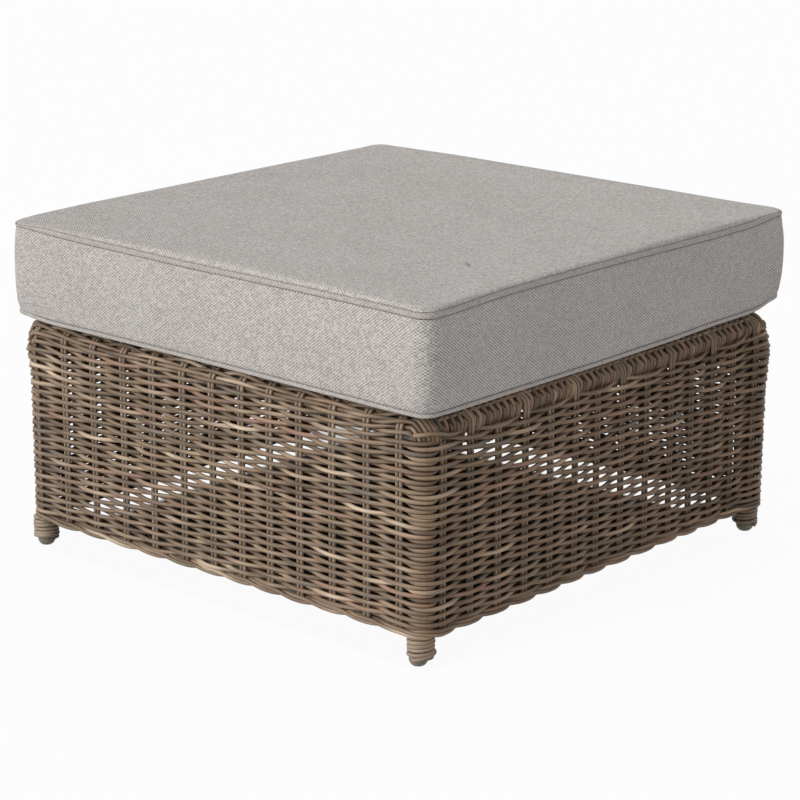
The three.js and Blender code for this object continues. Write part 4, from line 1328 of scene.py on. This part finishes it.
def addBand(name, low, high, replaced):
    edge = boxingOut((low + high) / 2)
    rings = [cushionRing(edge + out, low + share * (high - low)) for out, share, _ in bandSection]
    run = [section[2] for section in bandSection] + [0.0158]
    count = len(cushionMarks)
    faces, uvs = [], []
    extended = np.append(cushionMarks, 4 * cushionSide)
    for r in range(len(rings)):
        for i in range(count):
            faces.append(quad(r, (r + 1) % len(rings), i, count))
            uvs += [(extended[i], run[r]), (extended[i + 1], run[r]),
                    (extended[i + 1], run[r + 1]), (extended[i], run[r + 1])]
    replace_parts(clothMesh(name, np.concatenate(rings), faces, uvs, bandCloth), replaced)


addCushion()
addBand("weltBottom", footHeights, footHeights + cushion["footBand"], "welt_bottom")
addBand("weltTop", seamHeights + 0.0004, bandTop, "welt_top")
print("cushion made")


def threadPaint(start):
    twist = start.noise(placeOnObject(start), 900.0, 2, 0.5)
    return {"Base Color": twist.blend((0.10, 0.092, 0.085), (0.19, 0.175, 0.165)),
            "Roughness": twist.span(0.8, 0.95)}


def foamPaint(start):
    cell = start.noise(placeOnObject(start), 700.0, 3, 0.6)
    return {"Base Color": cell.blend((0.72, 0.67, 0.52), (0.86, 0.82, 0.70)),
            "Roughness": cell.span(0.9, 1.0), "Normal": bumpFrom(start, cell, 0.001, 0.6)}


def metalPaint(start):
    x, y, z = placeOnObject(start).parts()
    brushed = start.noise(start.vector(x * 90.0, y * 2500.0, z * 2500.0), 1.0, 2, 0.6)
    return {"Base Color": brushed.blend((0.30, 0.29, 0.27), (0.42, 0.41, 0.38)),
            "Roughness": brushed.span(0.26, 0.42), "Normal": bumpFrom(start, brushed, 0.0001, 0.4)}


def tapePaint(start):
    x, _, z = placeOnObject(start).parts()
    rib = (z * (2 * math.pi / 0.0008)).sine()
    fleck = start.noise(start.vector(x * 800.0, 0.0, z * 800.0), 1.0, 2, 0.6)
    colour = (rib * 0.25 + 0.5 + (fleck - 0.5) * 0.6).blend((0.20, 0.188, 0.175), (0.34, 0.32, 0.30))
    return {"Base Color": colour, "Roughness": fleck.span(0.75, 0.95),
            "Normal": bumpFrom(start, rib * 0.5 + fleck, 0.0003, 0.5)}


threadFinish = newMaterial("threadFibre", threadPaint)
foamFinish = newMaterial("foamCells", foamPaint)
zipMetal = newMaterial("zipMetal", metalPaint, Metallic=1.0)
zipTape = newMaterial("zipTape", tapePaint)
thread = {"at": (0.2654, -0.1736), "reach": 0.0062, "curl": 0.0030, "slant": 0.004, "height": 0.4660,
          "arch": 0.0008, "strand": 0.0006, "sides": 6}


# A short thread pulled out of the top
def addThread():
    share = np.linspace(-1, 1, 13)
    x, y = thread["at"]
    points = np.column_stack([x + thread["reach"] * share,
                              y + thread["curl"] * share**2 - thread["slant"] * share,
                              thread["height"] + thread["arch"] * (1 - share**2)])
    normals = np.tile([0.0, 0.0, 1.0], (len(share), 1))
    bundle = Bundle()
    bundle.add(ringsRound(points, normals, thread["strand"], thread["sides"]), lengthsAlong(points))
    piece = bundle.build("thread", threadFinish)
    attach(piece, "cushion")


# The block of foam inside, everywhere clear of the cover: its section is reach and height
foamSection = [(-0.040, 0.3300), (-0.017, 0.3325), (-0.011, 0.3400), (-0.009, 0.3550), (-0.009, 0.4350),
               (-0.013, 0.4500), (-0.040, 0.4570)]


def addFoam():
    raised = np.maximum(0, footHeights - 0.328)
    rings = [cushionRing(out, z + raised * max(0, 0.36 - z) / 0.03) for out, z in foamSection]
    count = len(cushionMarks)
    points = np.concatenate(rings + [[[0, 0, foamSection[0][1]]], [[0, 0, foamSection[-1][1]]]])
    faces = [quad(r, r + 1, i, count) for i in range(count) for r in range(len(rings) - 1)]
    piece = newPiece("foamBlock", points, faces + caps(len(rings), count), foamFinish)
    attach(piece, "cushion")
    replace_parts(piece, "foam_core")


addThread()
addFoam()
for name, finish in (("zip_slider", zipMetal), ("zip_pull", zipMetal), ("zip_tape", zipTape)):
    repaint(nodes[name], finish)
print("thread, foam and zip finished")
